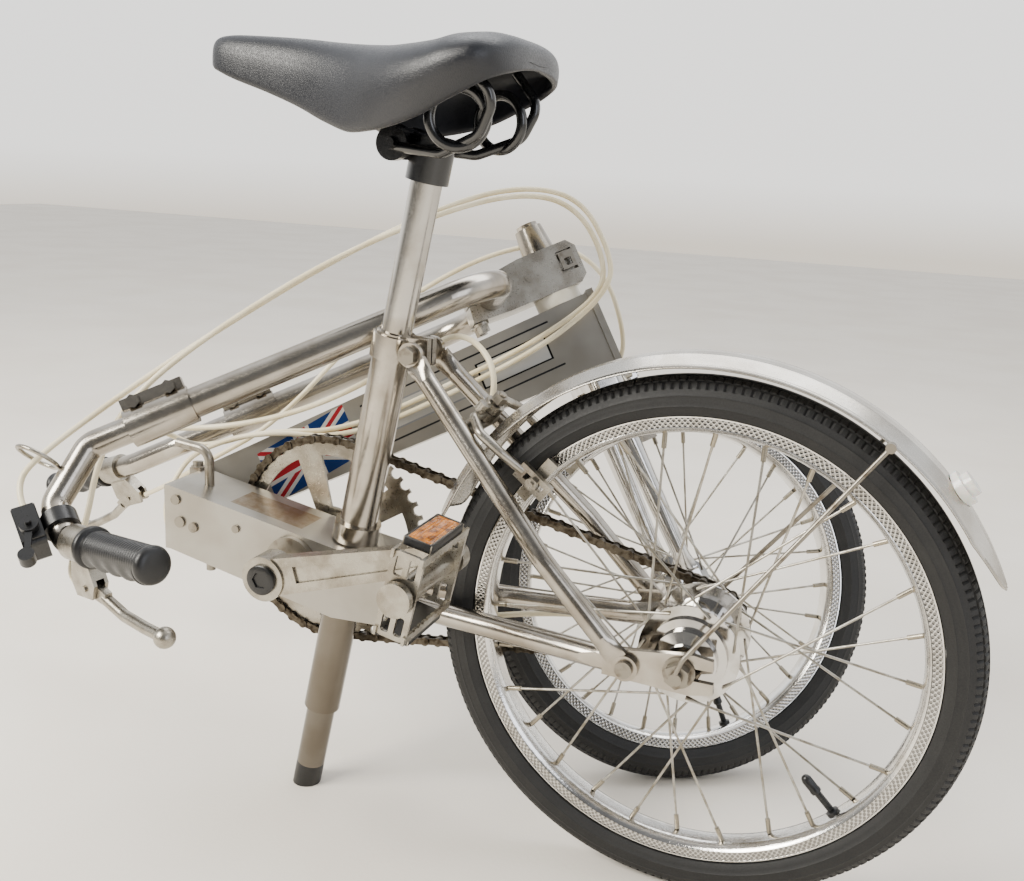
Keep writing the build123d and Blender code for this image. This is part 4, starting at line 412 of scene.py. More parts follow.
SLEEVE_ALLOY = FootedTube(  # the pillar's outer tube: buffed, and darker below the beam
    "buffed_sleeve_tube", "#B0AAA0", "#958D81", 1.0, (0.16, 0.27), 34.0, grain_mm=1.8, grain_depth_mm=0.0022,
    grime_and_shade="#6B6255", grime_and_shade_mm=3.0, plain_above=0.262, darkest_below=0.245)
CHROME = Finish(  # chromed steel with a few dull specks
    "chromed_steel", "#C9C7C4", "#AAA69E", 1.0, (0.06, 0.13), 22.0, (0.52, 0.7), grain_mm=2.4,
    grain_depth_mm=0.0015, grime_and_shade="#55493A", grime_and_shade_mm=4.0)
CAST_ALLOY = Finish(  # forged and tumbled aluminium: slightly orange-peeled, with painted shade and grime darkening its corners
    "forged_aluminium", "#A8A398", "#8A8377", 0.97, (0.24, 0.38), 18.0, grain_mm=1.5, grain_depth_mm=0.01,
    grime_and_shade="#4A4235", grime_and_shade_mm=3.5)
SHEET_ALLOY = Finish(  # rolled aluminium sheet, lightly scuffed
    "rolled_aluminium_sheet", "#C2BEB6", "#A9A399", 0.97, (0.2, 0.3), 40.0, grain_mm=1.8, grain_depth_mm=0.003,
    grime_and_shade="#7A7164", grime_and_shade_mm=3.0)
ZINC_STEEL = Finish(  # zinc-plated fasteners gone grey, with brown specks
    "zinc_plated_steel", "#8E887D", "#6C6255", 0.92, (0.3, 0.46), 9.0, (0.5, 0.7), grain_mm=1.1,
    grain_depth_mm=0.015, grime_and_shade="#33291E", grime_and_shade_mm=3.5)
OILED_STEEL = Finish(  # oiled roller chain: dark links with bright rubbed edges
    "oiled_chain_steel", "#5E574C", "#332B21", 0.9, (0.28, 0.5), 5.0, grain_mm=1.1, grain_depth_mm=0.04,
    grime_and_shade="#1E1812", grime_and_shade_mm=2.5)
TYRE_RUBBER = Finish(  # vulcanised rubber: near black, dusty grey on the blocks
    "vulcanised_tyre_rubber", "#0E0E0F", "#151515", 0.0, (0.55, 0.72), 20.0, grain_mm=1.1, grain_depth_mm=0.06,
    grime_and_shade="#0C0C0C", grime_and_shade_mm=2.0)
GRIP_RUBBER = Finish(  # moulded vinyl grip: black with a worn shine on the ridges
    "moulded_vinyl_grip", "#0B0B0C", "#141415", 0.0, (0.3, 0.46), 10.0, grain_mm=1.2, grain_depth_mm=0.05)
BLACK_NYLON = Finish(  # injection-moulded nylon: black, half gloss
    "moulded_black_nylon", "#0A0A0B", "#121214", 0.0, (0.26, 0.4), 12.0, grain_mm=1.2, grain_depth_mm=0.03)
BLACK_ENAMEL = Finish(  # dipped enamel over steel wire: black, glossy, thick
    "black_dipped_enamel", "#08090A", "#101113", 0.0, (0.16, 0.28), 9.0, grain_mm=3.0, grain_depth_mm=0.03,
    coat=0.5)
CREAM_VINYL = Finish(  # extruded vinyl cable sleeve, yellowed with age
    "aged_cream_vinyl", "#E6DBBD", "#D8CAA4", 0.0, (0.3, 0.42), 40.0, grain_mm=1.6, grain_depth_mm=0.01)
IVORY_ACETAL = Finish(  # moulded acetal bush: ivory, waxy
    "ivory_acetal", "#EAE5D8", "#DCD4C0", 0.0, (0.32, 0.45), 20.0, grain_mm=1.6, grain_depth_mm=0.02,
    grime_and_shade="#8E836C")
WHITE_LENS = PrismLens(  # clear acrylic over white: milky and bright
    "white_acrylic_lens", "#E7E5DF", "#D6D2C8", 0.0, (0.12, 0.24), 12.0, grain_depth_mm=0.1)
AMBER_LENS = PrismLens(  # amber acrylic with moulded prisms
    "amber_acrylic_lens", "#B9701A", "#5E3208", 0.0, (0.1, 0.24), 6.0, grain_depth_mm=0.5, cell_mm=2.6)
SADDLE_SKIN = GrainedSkin(  # moulded vinyl saddle: charcoal with a leather grain and a dry bloom
    "grained_saddle_vinyl", "#12141A", "#191B21", 0.0, (0.34, 0.48), 60.0, grain_mm=1.7, grain_depth_mm=0.05)


class Wear(Enum):
    """The finish that each carried-over part wears."""

    TUBE = (TUBE_ALLOY, ("seat_stay_left", "seat_stay_right", "chain_stays", "handlebar", "handle_tubes",
                         "bar_sleeves", "steerer"))
    PILLAR = (PILLAR_ALLOY, ("pillar",))
    SLEEVE = (SLEEVE_ALLOY, ("pillar_sleeve",))
    CHROME = (CHROME, ("hub_rear", "hub_front", "fork"))
    CAST = (CAST_ALLOY, ("crank_left", "crank_right", "pedal_left", "pedal_right", "stem", "lever_brackets",
                         "brake_lever_near", "brake_lever_far", "rear_brake_arm_left", "rear_brake_arm_right",
                         "front_brake_arm_left", "front_brake_arm_right", "chainring"))
    ZINC = (ZINC_STEEL, ("bottom_bracket", "frame_bolts", "axle_rear", "axle_front", "spindle", "hinge_rear",
                         "hinge_front", "lock_rod", "brake_bridge", "mudguard_stays", "stem_latch", "sprocket"))
    OILED = (OILED_STEEL, ("chain",))
    RUBBER = (GRIP_RUBBER, ("pillar_foot",))
    NYLON = (BLACK_NYLON, ("shifter", "gear_lever"))
    ENAMEL = (BLACK_ENAMEL, ("saddle_clamp", "saddle_rails"))
    ACETAL = (IVORY_ACETAL, ("head_bushes",))
    LENS = (WHITE_LENS, ("rear_lamp",))

    @property
    def finish(self) -> Finish:
        """The finish itself."""
        return self.value[0]

    @property
    def parts(self) -> tuple[str, ...]:
        """Names of the parts that wear it."""
        return self.value[1]


def dress(part: bpy.types.Object, material: bpy.types.Material) -> None:
    """Gives a part one material in place of those it came with."""
    part.data.materials.clear()
    part.data.materials.append(material)


# ------------------------------------------------------------------ surfaces
def surface(name: str, points: Array, wrap: tuple[bool, bool], finish: Finish, uv: Array | None = None,
            sharp: float | None = None) -> bpy.types.Object:
    """Turns a grid of points into a mesh object at the origin.

    Args:
        name: the piece's name.
        points: rows by columns by three, in metres.
        wrap: whether the rows, and the columns, run round and meet.
        finish: what it is made of.
        uv: optional map, one row and column more than the grid where that side wraps.
        sharp: angle in degrees past which an edge stays crisp, or None for all smooth.

    Returns:
        The new object, linked to the scene.
    """
    m, n = points.shape[:2]
    i, j = np.meshgrid(np.arange(m if wrap[0] else m - 1), np.arange(n if wrap[1] else n - 1), indexing="ij")
    i1, j1 = (i + 1) % m, (j + 1) % n
    quads = np.stack([i * n + j, i1 * n + j, i1 * n + j1, i * n + j1], -1).reshape(-1, 4)
    mesh = bpy.data.meshes.new(name)
    mesh.from_pydata(points.reshape(-1, 3).tolist(), [], quads.tolist())
    if uv is not None:
        corners = np.stack([uv[i, j], uv[i + 1, j], uv[i + 1, j + 1], uv[i, j + 1]], 2)
        layer = mesh.uv_layers.new(name="UVMap")
        layer.data.foreach_set("uv", corners.reshape(-1).astype(np.float32))
    shell = bmesh.new()
    shell.from_mesh(mesh)
    bmesh.ops.remove_doubles(shell, verts=shell.verts, dist=1e-6)
    bmesh.ops.dissolve_degenerate(shell, dist=1e-7, edges=shell.edges)
    bmesh.ops.recalc_face_normals(shell, faces=shell.faces)
    shell.to_mesh(mesh)
    shell.free()
    mesh.polygons.foreach_set("use_smooth", np.ones(len(mesh.polygons), bool))
    if sharp is not None:
        mesh.set_sharp_from_angle(angle=math.radians(sharp))
    piece = bpy.data.objects.new(name, mesh)
    bpy.context.scene.collection.objects.link(piece)
    mesh.materials.append(finish.make())
    return piece


def basis(direction: Vector, hint: Vector) -> Matrix:
    """A turn whose Z is a direction and whose X leans to a hint, as columns."""
    z = direction.normalized()
    x = (hint - z * hint.dot(z)).normalized()
    y = z.cross(x)
    return Matrix((x, y, z)).transposed()


def carried(local: Array, origin: Vector, turn: Matrix) -> Array:
    """Moves points from local terms to the row frame: turn times point, plus origin."""
    return local @ np.array(turn).T + np.array(origin)


def lathe(name: str, stations: Array, origin: Vector, turn: Matrix, finish: Finish, segments: int = 48,
          shape: Callable[[Array, Array], Array] | None = None, sharp: float | None = 40.0) -> bpy.types.Object:
    """Turned piece: a radius at each station along Z, carried round the axis, plus an optional relief.

    Args:
        name: the piece's name.
        stations: pairs of distance and radius.
        origin: where the axis starts.
        turn: columns X, Y and Z of the piece.
        finish: what it is made of.
        segments: steps round the axis.
        shape: extra radius from the angle and the distance.
        sharp: crisp-edge angle in degrees.

    Returns:
        The new object.
    """
    angle = np.linspace(0, 2 * np.pi, segments, endpoint=False)[None, :]
    distance, radius = stations[:, 0][:, None], stations[:, 1][:, None]
    r = radius + (shape(angle, distance) if shape else 0 * angle)
    r = np.where(radius > 0, r, 0)
    local = np.stack([r * np.cos(angle), r * np.sin(angle), distance + 0 * angle], -1)
    return surface(name, carried(local, origin, turn), (False, True), finish, sharp=sharp)


# ------------------------------------------------------------------ wheels
@dataclass
class Wheel:
    """One wheel: tyre with a block tread, and a rim with knurled braking bands."""

    end: str
    outer: float
    blocks: int
    valve_way: Vector
    tyre_w: float = 0.037
    rim_w: float = 0.026
    rim_h: float = 0.014
    tread_depth: float = 0.0013
    centre: Vector = field(init=False)
    turn: Matrix = field(init=False)

    def __post_init__(self) -> None:
        """Reads the axle from its joint."""
        joint = JOINTS[f"{self.end}_wheel_spin"]
        self.centre = Vector(joint["pos_m"])
        self.turn = basis(Vector(joint["axis"]), Vector((0, 0, 1)))

    @property
    def seat(self) -> float:
        """Radius of the rim's outer face."""
        return self.outer - self.tyre_w + 0.0075

    def tyre(self) -> bpy.types.Object:
        """Tyre: a round section swept round the axle; tread slots cut in by steps of a quarter block.

        Section angle a is nought at the crown. Between 0 and 62 degrees the skin carries blocks: two
        grooves run round at 11 and 36 degrees and slots cross the bands at every block, each band
        shifted by half a block. From 70 degrees the wall has three thin moulded rings.
        """
        r0 = self.tyre_w / 2
        limit = math.acos((self.seat + 0.00005 - (self.outer - r0)) / r0)
        crown = np.radians([0, 8, 9.5, 14, 15.5, 24, 33, 34.5, 39, 40.5, 50, 58, 60, 64, 70, 74, 76, 78, 84, 90, 98,
                            100, 102, 110, 118])
        half = np.concatenate([crown[crown < limit], [limit]])
        a = np.concatenate([-half[:0:-1], half])[None, :]
        count = self.blocks * 4
        k = np.arange(count)[:, None]
        theta = 2 * np.pi * k / count
        deg = np.abs(np.degrees(a))
        groove = ((deg > 9) & (deg < 14.2)) | ((deg > 34) & (deg < 39.2))
        band = (deg > 15).astype(int) + (deg > 40)
        slot = ((k + 2 * band + (a > 0)) % 4 == 0) & (deg < 59) & (band > 0)
        ring = (np.abs(deg - 76) < 1) | (np.abs(deg - 100) < 1)
        depth = np.where(groove | slot, self.tread_depth, 0.0) + np.where(deg > 62, 0.0004, 0.0)
        depth = depth - np.where(ring, 0.0004, 0.0)
        squash = r0 - depth
        r = (self.outer - r0) + squash * np.cos(a)
        y = squash * np.sin(a) + 0 * theta
        local = np.stack([r * np.cos(theta), r * np.sin(theta), y], -1)
        piece = surface(f"tyre_skin_{self.end}", carried(local, self.centre, self.turn), (True, True), TYRE_RUBBER,
                        sharp=32.0)
        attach(piece, f"{self.end}_wheel")
        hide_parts(f"tyre_{self.end}")
        return piece

    def rim(self) -> bpy.types.Object:
        """Rim: its rolled section swept round the axle, with a map in metres for the knurl."""
        top, w, h = self.seat, self.rim_w / 2, self.rim_h
        side = [(top, -w + 0.003), (top, -w + 0.0006), (top - 0.0006, -w), (top - 0.0016, -w),
                (top - 0.0018, -w + 0.0005), (top - h + 0.0054, -w + 0.0005), (top - h + 0.0048, -w),
                (top - h + 0.0034, -w + 0.001), (top - h + 0.0014, -w + 0.0035), (top - h + 0.0003, -w + 0.006),
                (top - h, -w + 0.0085)]
        profile = np.array(side + [(r, -y) for r, y in reversed(side)])
        steps = np.linalg.norm(np.diff(np.vstack([profile, profile[:1]]), axis=0), axis=1)
        run = np.concatenate([[0], np.cumsum(steps)])
        count = 240
        theta = (2 * np.pi * np.arange(count) / count)[:, None]
        r, y = profile[:, 0][None, :], profile[:, 1][None, :] + 0 * theta
        local = np.stack([r * np.cos(theta), r * np.sin(theta), y], -1)
        mean = top - h / 2
        cells = round(2 * math.pi * mean / (KNURL_CELL_MM * MM))
        length = cells * KNURL_CELL_MM * MM
        u = np.linspace(0, length, count + 1)[:, None] + 0 * run[None, :]
        uv = np.stack([u, run[None, :] + 0 * u], -1)
        bands = ((run[4], run[5]), (run[16], run[17]))
        finish = KnurledRim(f"knurled_chrome_rim_{self.end}", "#DEDCD8", "#C4C0B9", 1.0, (0.08, 0.2), 24.0,
                            (0.52, 0.7), grain_mm=2.2, grain_depth_mm=0.12, grime_and_shade="#3C352B", grime_and_shade_mm=4.0,
                            bands=bands)
        piece = surface(f"rim_band_{self.end}", carried(local, self.centre, self.turn), (True, True), finish, uv,
                        sharp=35.0)
        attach(piece, f"{self.end}_wheel")
        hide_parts(f"rim_{self.end}")
        log.info("rim %s: section %.1f mm round", self.end, run[-1] / MM)
        return piece

    def lacing(self) -> None:
        """Spokes and nipples keep their solids and get their finish."""
        finish = BeadedLacing(f"zinc_spokes_{self.end}", "#B3AFA6", "#8F887A", 1.0, (0.24, 0.38), 12.0,
                              grain_mm=1.2, grain_depth_mm=0.01, centre=tuple(self.centre),
                              nipple_from=self.seat - self.rim_h - 0.012)
        dress(NODES[f"spokes_{self.end}"], finish.make())

    def valve(self) -> bpy.types.Object:
        """Valve from the rim to the hub: locknut, threaded stem, then a ribbed cap with a domed end."""
        thread = [(0.003 + 0.0008 * k, 0.0026 + 0.0003 * (k % 2)) for k in range(21)]
        cap = [(0.0198, 0.0029), (0.0202, 0.0041), (0.0225, 0.0044), (0.0235, 0.0040), (0.0325, 0.0038),
               (0.0350, 0.0031), (0.0362, 0.0018), (0.0366, 0.0)]
        stations = np.array([(-0.001, 0.0), (-0.001, 0.0052), (0.0024, 0.0052), (0.003, 0.0026)] + thread + cap)

        def ribs(angle: Array, distance: Array) -> Array:
            """Twelve shallow ribs on the cap only."""
            return np.where((distance > 0.0235) & (distance < 0.033), 0.0003 * np.cos(12 * angle), 0.0)

        start = self.centre + self.valve_way * (self.seat - self.rim_h)
        turn = basis(-self.valve_way, self.turn.col[2])
        piece = lathe(f"valve_{self.end}", stations, start, turn, BLACK_NYLON, 36, ribs)
        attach(piece, f"{self.end}_wheel")
        return piece

    def build(self) -> None:
        """Makes the whole wheel."""
        self.tyre()
        self.rim()
        self.valve()
        self.lacing()


REAR_WHEEL = Wheel("rear", 0.2115, 196, Vector((0.70711, 0, -0.70711)))
FRONT_WHEEL = Wheel("front", 0.189, 176, Vector((0.40943, -0.10602, -0.90616)))


# ------------------------------------------------------------------ saddle
@dataclass
class Saddle:
    """Moulded saddle, from the clamp bolt at its origin: X to the rear, Z up."""

    bolt: Vector = field(default_factory=lambda: Vector((0.008773, -0.042896, 0.575881)))
    wall: float = 0.005
    # distance from the bolt, half width, top and skirt height, all in millimetres
    stations: ClassVar[tuple[tuple[float, float, float, float], ...]] = (
        (-171.5, 0.0, 66.0, 60.0), (-170.5, 7.5, 71.5, 54.5), (-166, 13.5, 75.5, 51.0), (-158, 17.5, 77.5, 48.0),
        (-145, 20.5, 78.2, 43.5), (-112, 25.5, 77.2, 34.0), (-80, 32.0, 75.5, 23.5), (-50, 43.0, 73.0, 12.0),
        (-22, 57.0, 71.5, 5.0), (0, 71.0, 71.0, 6.5), (22, 83.0, 72.3, 10.5), (45, 91.0, 74.8, 17.5),
        (66, 93.7, 79.0, 28.0), (84, 91.0, 79.6, 37.0), (95, 82.0, 78.0, 43.5), (102, 68.0, 75.0, 47.5),
        (106, 48.0, 71.0, 51.0), (107.5, 26.0, 66.0, 54.0), (107.5, 0.0, 62.0, 56.0))

    def build(self) -> bpy.types.Object:
        """Skin: at each station a rounded cap between the two skirt edges.

        Across the section the angle t runs from 0 to pi. The side is w cos t to the power 2/3.2, the
        height is skirt + (top - skirt) sin t to the power 2/3.2; low on the side the skirt tucks in.
        """
        table = np.array(self.stations)
        stops = np.linspace(0, 1, len(table))
        fine = np.linspace(0, 1, 97)
        x, w, top, skirt = (self.smooth(fine, stops, table[:, c]) for c in range(4))
        w = np.clip(w, 0, None)
        t = np.linspace(0, np.pi, 61)[None, :]
        c, s = np.cos(t), np.sin(t)
        across = np.sign(c) * np.abs(c) ** (2 / 3.2)
        rise = np.abs(s) ** (2 / 3.2)
        tuck = 1 - 0.2 * (1 - rise) ** 1.5 * (np.clip((w - 20) / 70, 0, 1))[:, None]
        y = w[:, None] * across * tuck
        z = skirt[:, None] + (top - skirt)[:, None] * rise
        seam = np.exp(-((np.degrees(np.minimum(t, np.pi - t)) - 27) / 1.6) ** 2)
        z = z - 0.5 * seam
        grid = np.stack([x[:, None] + 0 * t, y, z], -1) * MM
        piece = surface("saddle_top", grid + np.array(self.bolt), (False, False), SADDLE_SKIN)
        shell = piece.modifiers.new("wall", "SOLIDIFY")
        shell.thickness = self.wall
        shell.offset = -1
        smooth = piece.modifiers.new("smooth", "SUBSURF")
        smooth.levels = smooth.render_levels = 1
        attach(piece, "saddle")
        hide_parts("saddle")
        return piece

    @staticmethod
    def smooth(at: Array, stops: Array, values: Array) -> Array:
        """Monotone cubic through the stations: slopes are harmonic means, so it never overshoots."""
        step = np.diff(stops)
        rate = np.diff(values) / step
        product = rate[:-1] * rate[1:]
        safe = np.where(np.abs(rate[:-1] + rate[1:]) > 1e-9, rate[:-1] + rate[1:], 1.0)
        inner = np.where(product > 0, 2 * product / safe, 0.0)
        slope = np.concatenate([[rate[0]], inner, [rate[-1]]])
        k = np.clip(np.searchsorted(stops, at, side="right") - 1, 0, len(step) - 1)
        h = step[k]
        u = (at - stops[k]) / h
        return ((1 + 2 * u) * (1 - u) ** 2 * values[k] + u * (1 - u) ** 2 * h * slope[k]
                + u * u * (3 - 2 * u) * values[k + 1] + u * u * (u - 1) * h * slope[k + 1])


# ------------------------------------------------------------------ mudguard
@dataclass
class Mudguard:
    """Rear mudguard: a thin blade with rolled edges and a pointed tail."""

    centre: Vector = field(default_factory=lambda: Vector(JOINTS["rear_wheel_spin"]["pos_m"]))
    radius: float = 0.229
    half_w: float = 0.026
    sag: float = 0.009
    angles: tuple[float, float] = (22.0, 161.0)

    def build(self) -> bpy.types.Object:
        """Blade: radius R - sag v squared, side w v, over v from -1 to 1; both edges roll into a bead.

        Over the last eleven degrees of the tail the blade narrows to a blunt point, and over the first
        six at the front it rounds off.
        """
        count = 150
        angle = np.radians(np.linspace(self.angles[0], self.angles[1], count))[:, None]
        v = np.array([-1, -0.985, -0.95, -0.9, -0.86, -0.7, -0.5, -0.42, -0.38, -0.3, -0.15, 0, 0.15, 0.3, 0.38, 0.42,
                      0.5, 0.7, 0.86, 0.9, 0.95, 0.985, 1])[None, :]
        tail = np.clip((np.degrees(angle) - self.angles[0]) / 11.0, 0, 1)
        front = np.clip((self.angles[1] - np.degrees(angle)) / 6.0, 0, 1)
        width = (0.3 + 0.7 * np.sqrt(tail)) * (0.75 + 0.25 * np.sqrt(1 - (1 - front) ** 2))
        bead = 0.0009 * np.exp(-((np.abs(v) - 0.94) / 0.035) ** 2)
        rib = 0.0006 * (np.abs(np.abs(v) - 0.4) < 0.03)
        r = self.radius - 0.0009 - self.sag * (v * width) ** 2 + bead + rib
        y = self.half_w * v * width
        local = np.stack([r * np.cos(angle), y, r * np.sin(angle)], -1)
        piece = surface("mudguard_blade", local + np.array(self.centre), (False, False), SHEET_ALLOY, sharp=50.0)
        shell = piece.modifiers.new("sheet", "SOLIDIFY")
        shell.thickness = 0.0012
        shell.offset = 0
        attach(piece, "rear_frame")
        return piece


# ------------------------------------------------------------------ grips
@dataclass
class Grip:
    """Moulded grip with a flange, finger waves on its lower side and fine ribs on its back."""

    name: str
    start: Vector
    direction: Vector
    below: Vector
    length: float = 0.0918
    radius: float = 0.0136

    def build(self) -> bpy.types.Object:
        """Turned body; the waves are a raised cosine of the distance, strongest on the finger side."""
        run = np.linspace(0.006, self.length - 0.009, 120)
        body = self.radius - 0.0006 + 0 * run
        tip = self.length - np.array([0.0075, 0.005, 0.003, 0.0012, 0.0003, 0.0])
        cap = self.radius * np.array([1.03, 1.05, 1.0, 0.86, 0.6, 0.0])
        head = np.array([(0.0, 0.0112), (0.0, 0.0155), (0.0008, 0.0162), (0.0038, 0.0162), (0.005, 0.0152)])
        stations = np.vstack([head, np.stack([run, body], -1), np.stack([tip, cap], -1)])

        def relief(angle: Array, distance: Array) -> Array:
            """Waves of four fingers below, ribs 3 mm apart above, both fading at the ends."""
            on = ((distance > 0.008) & (distance < self.length - 0.01)).astype(float)
            under = np.clip(np.cos(angle), 0, 1)
            over = np.clip(-np.cos(angle), 0, 1)
            finger = 0.5 - 0.5 * np.cos(2 * np.pi * (distance - 0.008) / 0.0185)
            ribs = (np.mod(distance, 0.0032) < 0.0016).astype(float)
            return on * (under * (0.0022 - 0.0026 * finger) + over * 0.0006 * ribs)

        turn = basis(self.direction, self.below)
        piece = lathe(f"grip_{self.name}", stations, self.start, turn, GRIP_RUBBER, 56, relief, sharp=50.0)
        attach(piece, "handlebar")
        return piece


DOWN = Vector((0, 0, -1))
NEAR_GRIP = Grip("near", Vector((-0.154856, -0.220888, 0.27197)), Vector((0.92283, -0.365523, 0.121562)), DOWN)
FAR_GRIP = Grip("far", Vector((-0.392377, 0.0745727, 0.22268)), Vector((-0.922547, 0.14751, -0.356578)), DOWN)


# ------------------------------------------------------------------ lenses
@dataclass
class PedalReflectors:
    """Amber lenses in black cases on the front and back of each pedal."""

    side: int
    name: str
    turn_deg: float
    spot: Vector
    middle: float = 0.03655
    half_h: float = 0.01115
    half_l: float = 0.02815
    along: float = 0.040
    corner: float = 0.0016

    def outline(self, inset: float, count: int = 10) -> Array:
        """Rounded rectangle, moved inwards by an inset; four quarter circles joined by straight sides."""
        a, b = self.half_h - inset, self.half_l - inset
        r = max(self.corner - inset, 0.0004)
        quarter = np.linspace(0, np.pi / 2, count)
        parts = []
        for k, (sx, sy) in enumerate(((1, 1), (-1, 1), (-1, -1), (1, -1))):
            turn = quarter + k * np.pi / 2
            parts.append(np.stack([sx * (a - r) + r * np.cos(turn), sy * (b - r) + r * np.sin(turn)], -1))
        return np.vstack(parts)

    def case(self, way: int, turn: Matrix, tag: str) -> None:
        """Case: the outline carried through levels, with a raised rim and a floor under the lens."""
        levels = ((-0.0031, None), (-0.0031, 0.0), (0.0029, 0.0), (0.0034, 0.0004), (0.0034, 0.0016),
                  (0.0029, 0.0019), (0.0029, None))
        rows = []
        for level, inset in levels:
            flat = self.outline(inset or 0.0) * (0.0 if inset is None else 1.0)
            rows.append(np.column_stack([np.full(len(flat), way * (self.middle + level)), flat[:, 0],
                                         self.along + flat[:, 1]]))
        piece = surface(f"reflector_case_{self.name}_{tag}", carried(np.stack(rows), self.spot, turn),
                        (False, True), BLACK_NYLON, sharp=40.0)
        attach(piece, f"pedal_{self.name}")

    def lens(self, way: int, turn: Matrix, tag: str) -> None:
        """Lens: a shallow pillow with upright prism bars, its rise falling off towards the rim."""
        u, v = np.meshgrid(np.linspace(-1, 1, 13), np.linspace(-1, 1, 97), indexing="ij")
        prism = 0.00035 * np.abs(np.mod(v * 12, 1.0) - 0.5) * 2
        rise = self.middle + 0.00292 + (0.0003 + prism) * (1 - u ** 8) * (1 - v ** 16)
        local = np.stack([way * rise, (self.half_h - 0.0018) * u, self.along + (self.half_l - 0.0018) * v], -1)
        piece = surface(f"reflector_lens_{self.name}_{tag}", carried(local, self.spot, turn), (False, False),
                        AMBER_LENS, sharp=20.0)
        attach(piece, f"pedal_{self.name}")

    def build(self) -> None:
        """Makes both cases and lenses in the pedal's own terms."""
        t = math.radians(self.turn_deg)
        x_dir = Vector((math.cos(t), 0, math.sin(t)))
        z_dir = Vector((0, self.side, 0))
        turn = Matrix((x_dir, z_dir.cross(x_dir), z_dir)).transposed()
        for way, tag in ((1, "front"), (-1, "back")):
            self.case(way, turn, tag)
            self.lens(way, turn, tag)


LEFT_REFLECTORS = PedalReflectors(-1, "left", 78.0, Vector((0.0907921, -0.1233963, 0.2722876)))
RIGHT_REFLECTORS = PedalReflectors(1, "right", 0.0, Vector((-0.2363621, 0.0376037, 0.1797124)))


@dataclass
class CrankCap:
    """Black dust cap with a hexagon socket over a crank bolt."""

    name: str
    side: int
    seat: float = 0.07882
    radius: float = 0.0127
    well: float = 0.0064

    def build(self) -> None:
        """Turned cap over the bolt's plug; the well's rings follow 1 / cos of the angle, which makes a hexagon."""
        hub = Vector(JOINTS["crank_turn"]["pos_m"])
        stations = np.array([(-0.0017, self.radius), (0.0010, self.radius), (0.0016, self.radius - 0.0008),
                             (0.0016, self.well), (0.0001, self.well - 0.0002), (0.0001, 0.0)])

        def socket(angle: Array, distance: Array) -> Array:
            """Extra radius that turns the well's rings into hexagons."""
            across = np.mod(angle + np.pi / 6, np.pi / 3) - np.pi / 6
            inner = (stations[:, 1] <= self.well)[:, None]
            return np.where(inner, stations[:, 1][:, None] * (1 / np.cos(across) - 1), 0 * distance)

        turn = basis(Vector((0, self.side, 0)), Vector((0, 0, 1)))
        piece = lathe(f"crank_cap_{self.name}", stations, hub + Vector((0, self.side * self.seat, 0)), turn,
                      BLACK_NYLON, 48, socket)
        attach(piece, "crankset")


# ------------------------------------------------------------------ cables
@dataclass
class Cable:
    """A sleeved cable on its route, as one smooth line."""

    node: str
    body: str
    length: float
    route: tuple[tuple[float, float, float], ...]
    diameter: float = 0.005

    def build(self) -> bpy.types.Object:
        """Curve with the route's points as the control points of one NURBS spline of order three."""
        data = bpy.data.curves.new(f"{self.node}_sleeve", "CURVE")
        data.dimensions = "3D"
        data.bevel_depth = self.diameter / 2
        data.bevel_resolution = 4
        data.resolution_u = 10
        data.use_fill_caps = True
        spline = data.splines.new("NURBS")
        spline.points.add(len(self.route) - 1)
        weighted = np.hstack([np.array(self.route), np.ones((len(self.route), 1))])
        spline.points.foreach_set("co", weighted.reshape(-1).astype(np.float32))
        spline.order_u = 3
        spline.use_endpoint_u = True
        piece = bpy.data.objects.new(f"{self.node}_sleeve", data)
        bpy.context.scene.collection.objects.link(piece)
        data.materials.append(CREAM_VINYL.make())
        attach(piece, self.body)
        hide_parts(self.node)
        return piece


REAR_BRAKE_CABLE = Cable("cable_rear_brake", "rear_frame", 1.589, (
    (-0.1815, -0.2056, 0.2322), (-0.2031, -0.1974, 0.2314), (-0.2119, -0.1633, 0.2598), (-0.2200, -0.1347, 0.3133),
    (-0.2036, -0.1115, 0.3626), (-0.1508, -0.0624, 0.4194), (-0.0710, 0.0031, 0.4836), (0.0143, 0.0746, 0.5298),
    (0.0592, 0.1318, 0.5403), (0.0898, 0.1635, 0.5258), (0.1142, 0.1678, 0.4887), (0.1221, 0.1553, 0.4548),
    (0.0853, 0.1258, 0.4174), (0.0262, 0.1085, 0.3781), (-0.0885, 0.0489, 0.3123), (-0.1599, 0.0203, 0.3105),
    (-0.2247, 0.0095, 0.2860), (-0.2513, -0.0029, 0.3000), (-0.2493, -0.0349, 0.3120), (-0.1693, -0.0189, 0.3200),
    (-0.0813, -0.0099, 0.3500), (0.0087, -0.0029, 0.4060), (0.0487, -0.0049, 0.4300), (0.0890, -0.0259, 0.4054),
    (0.0850, -0.0259, 0.3800)))
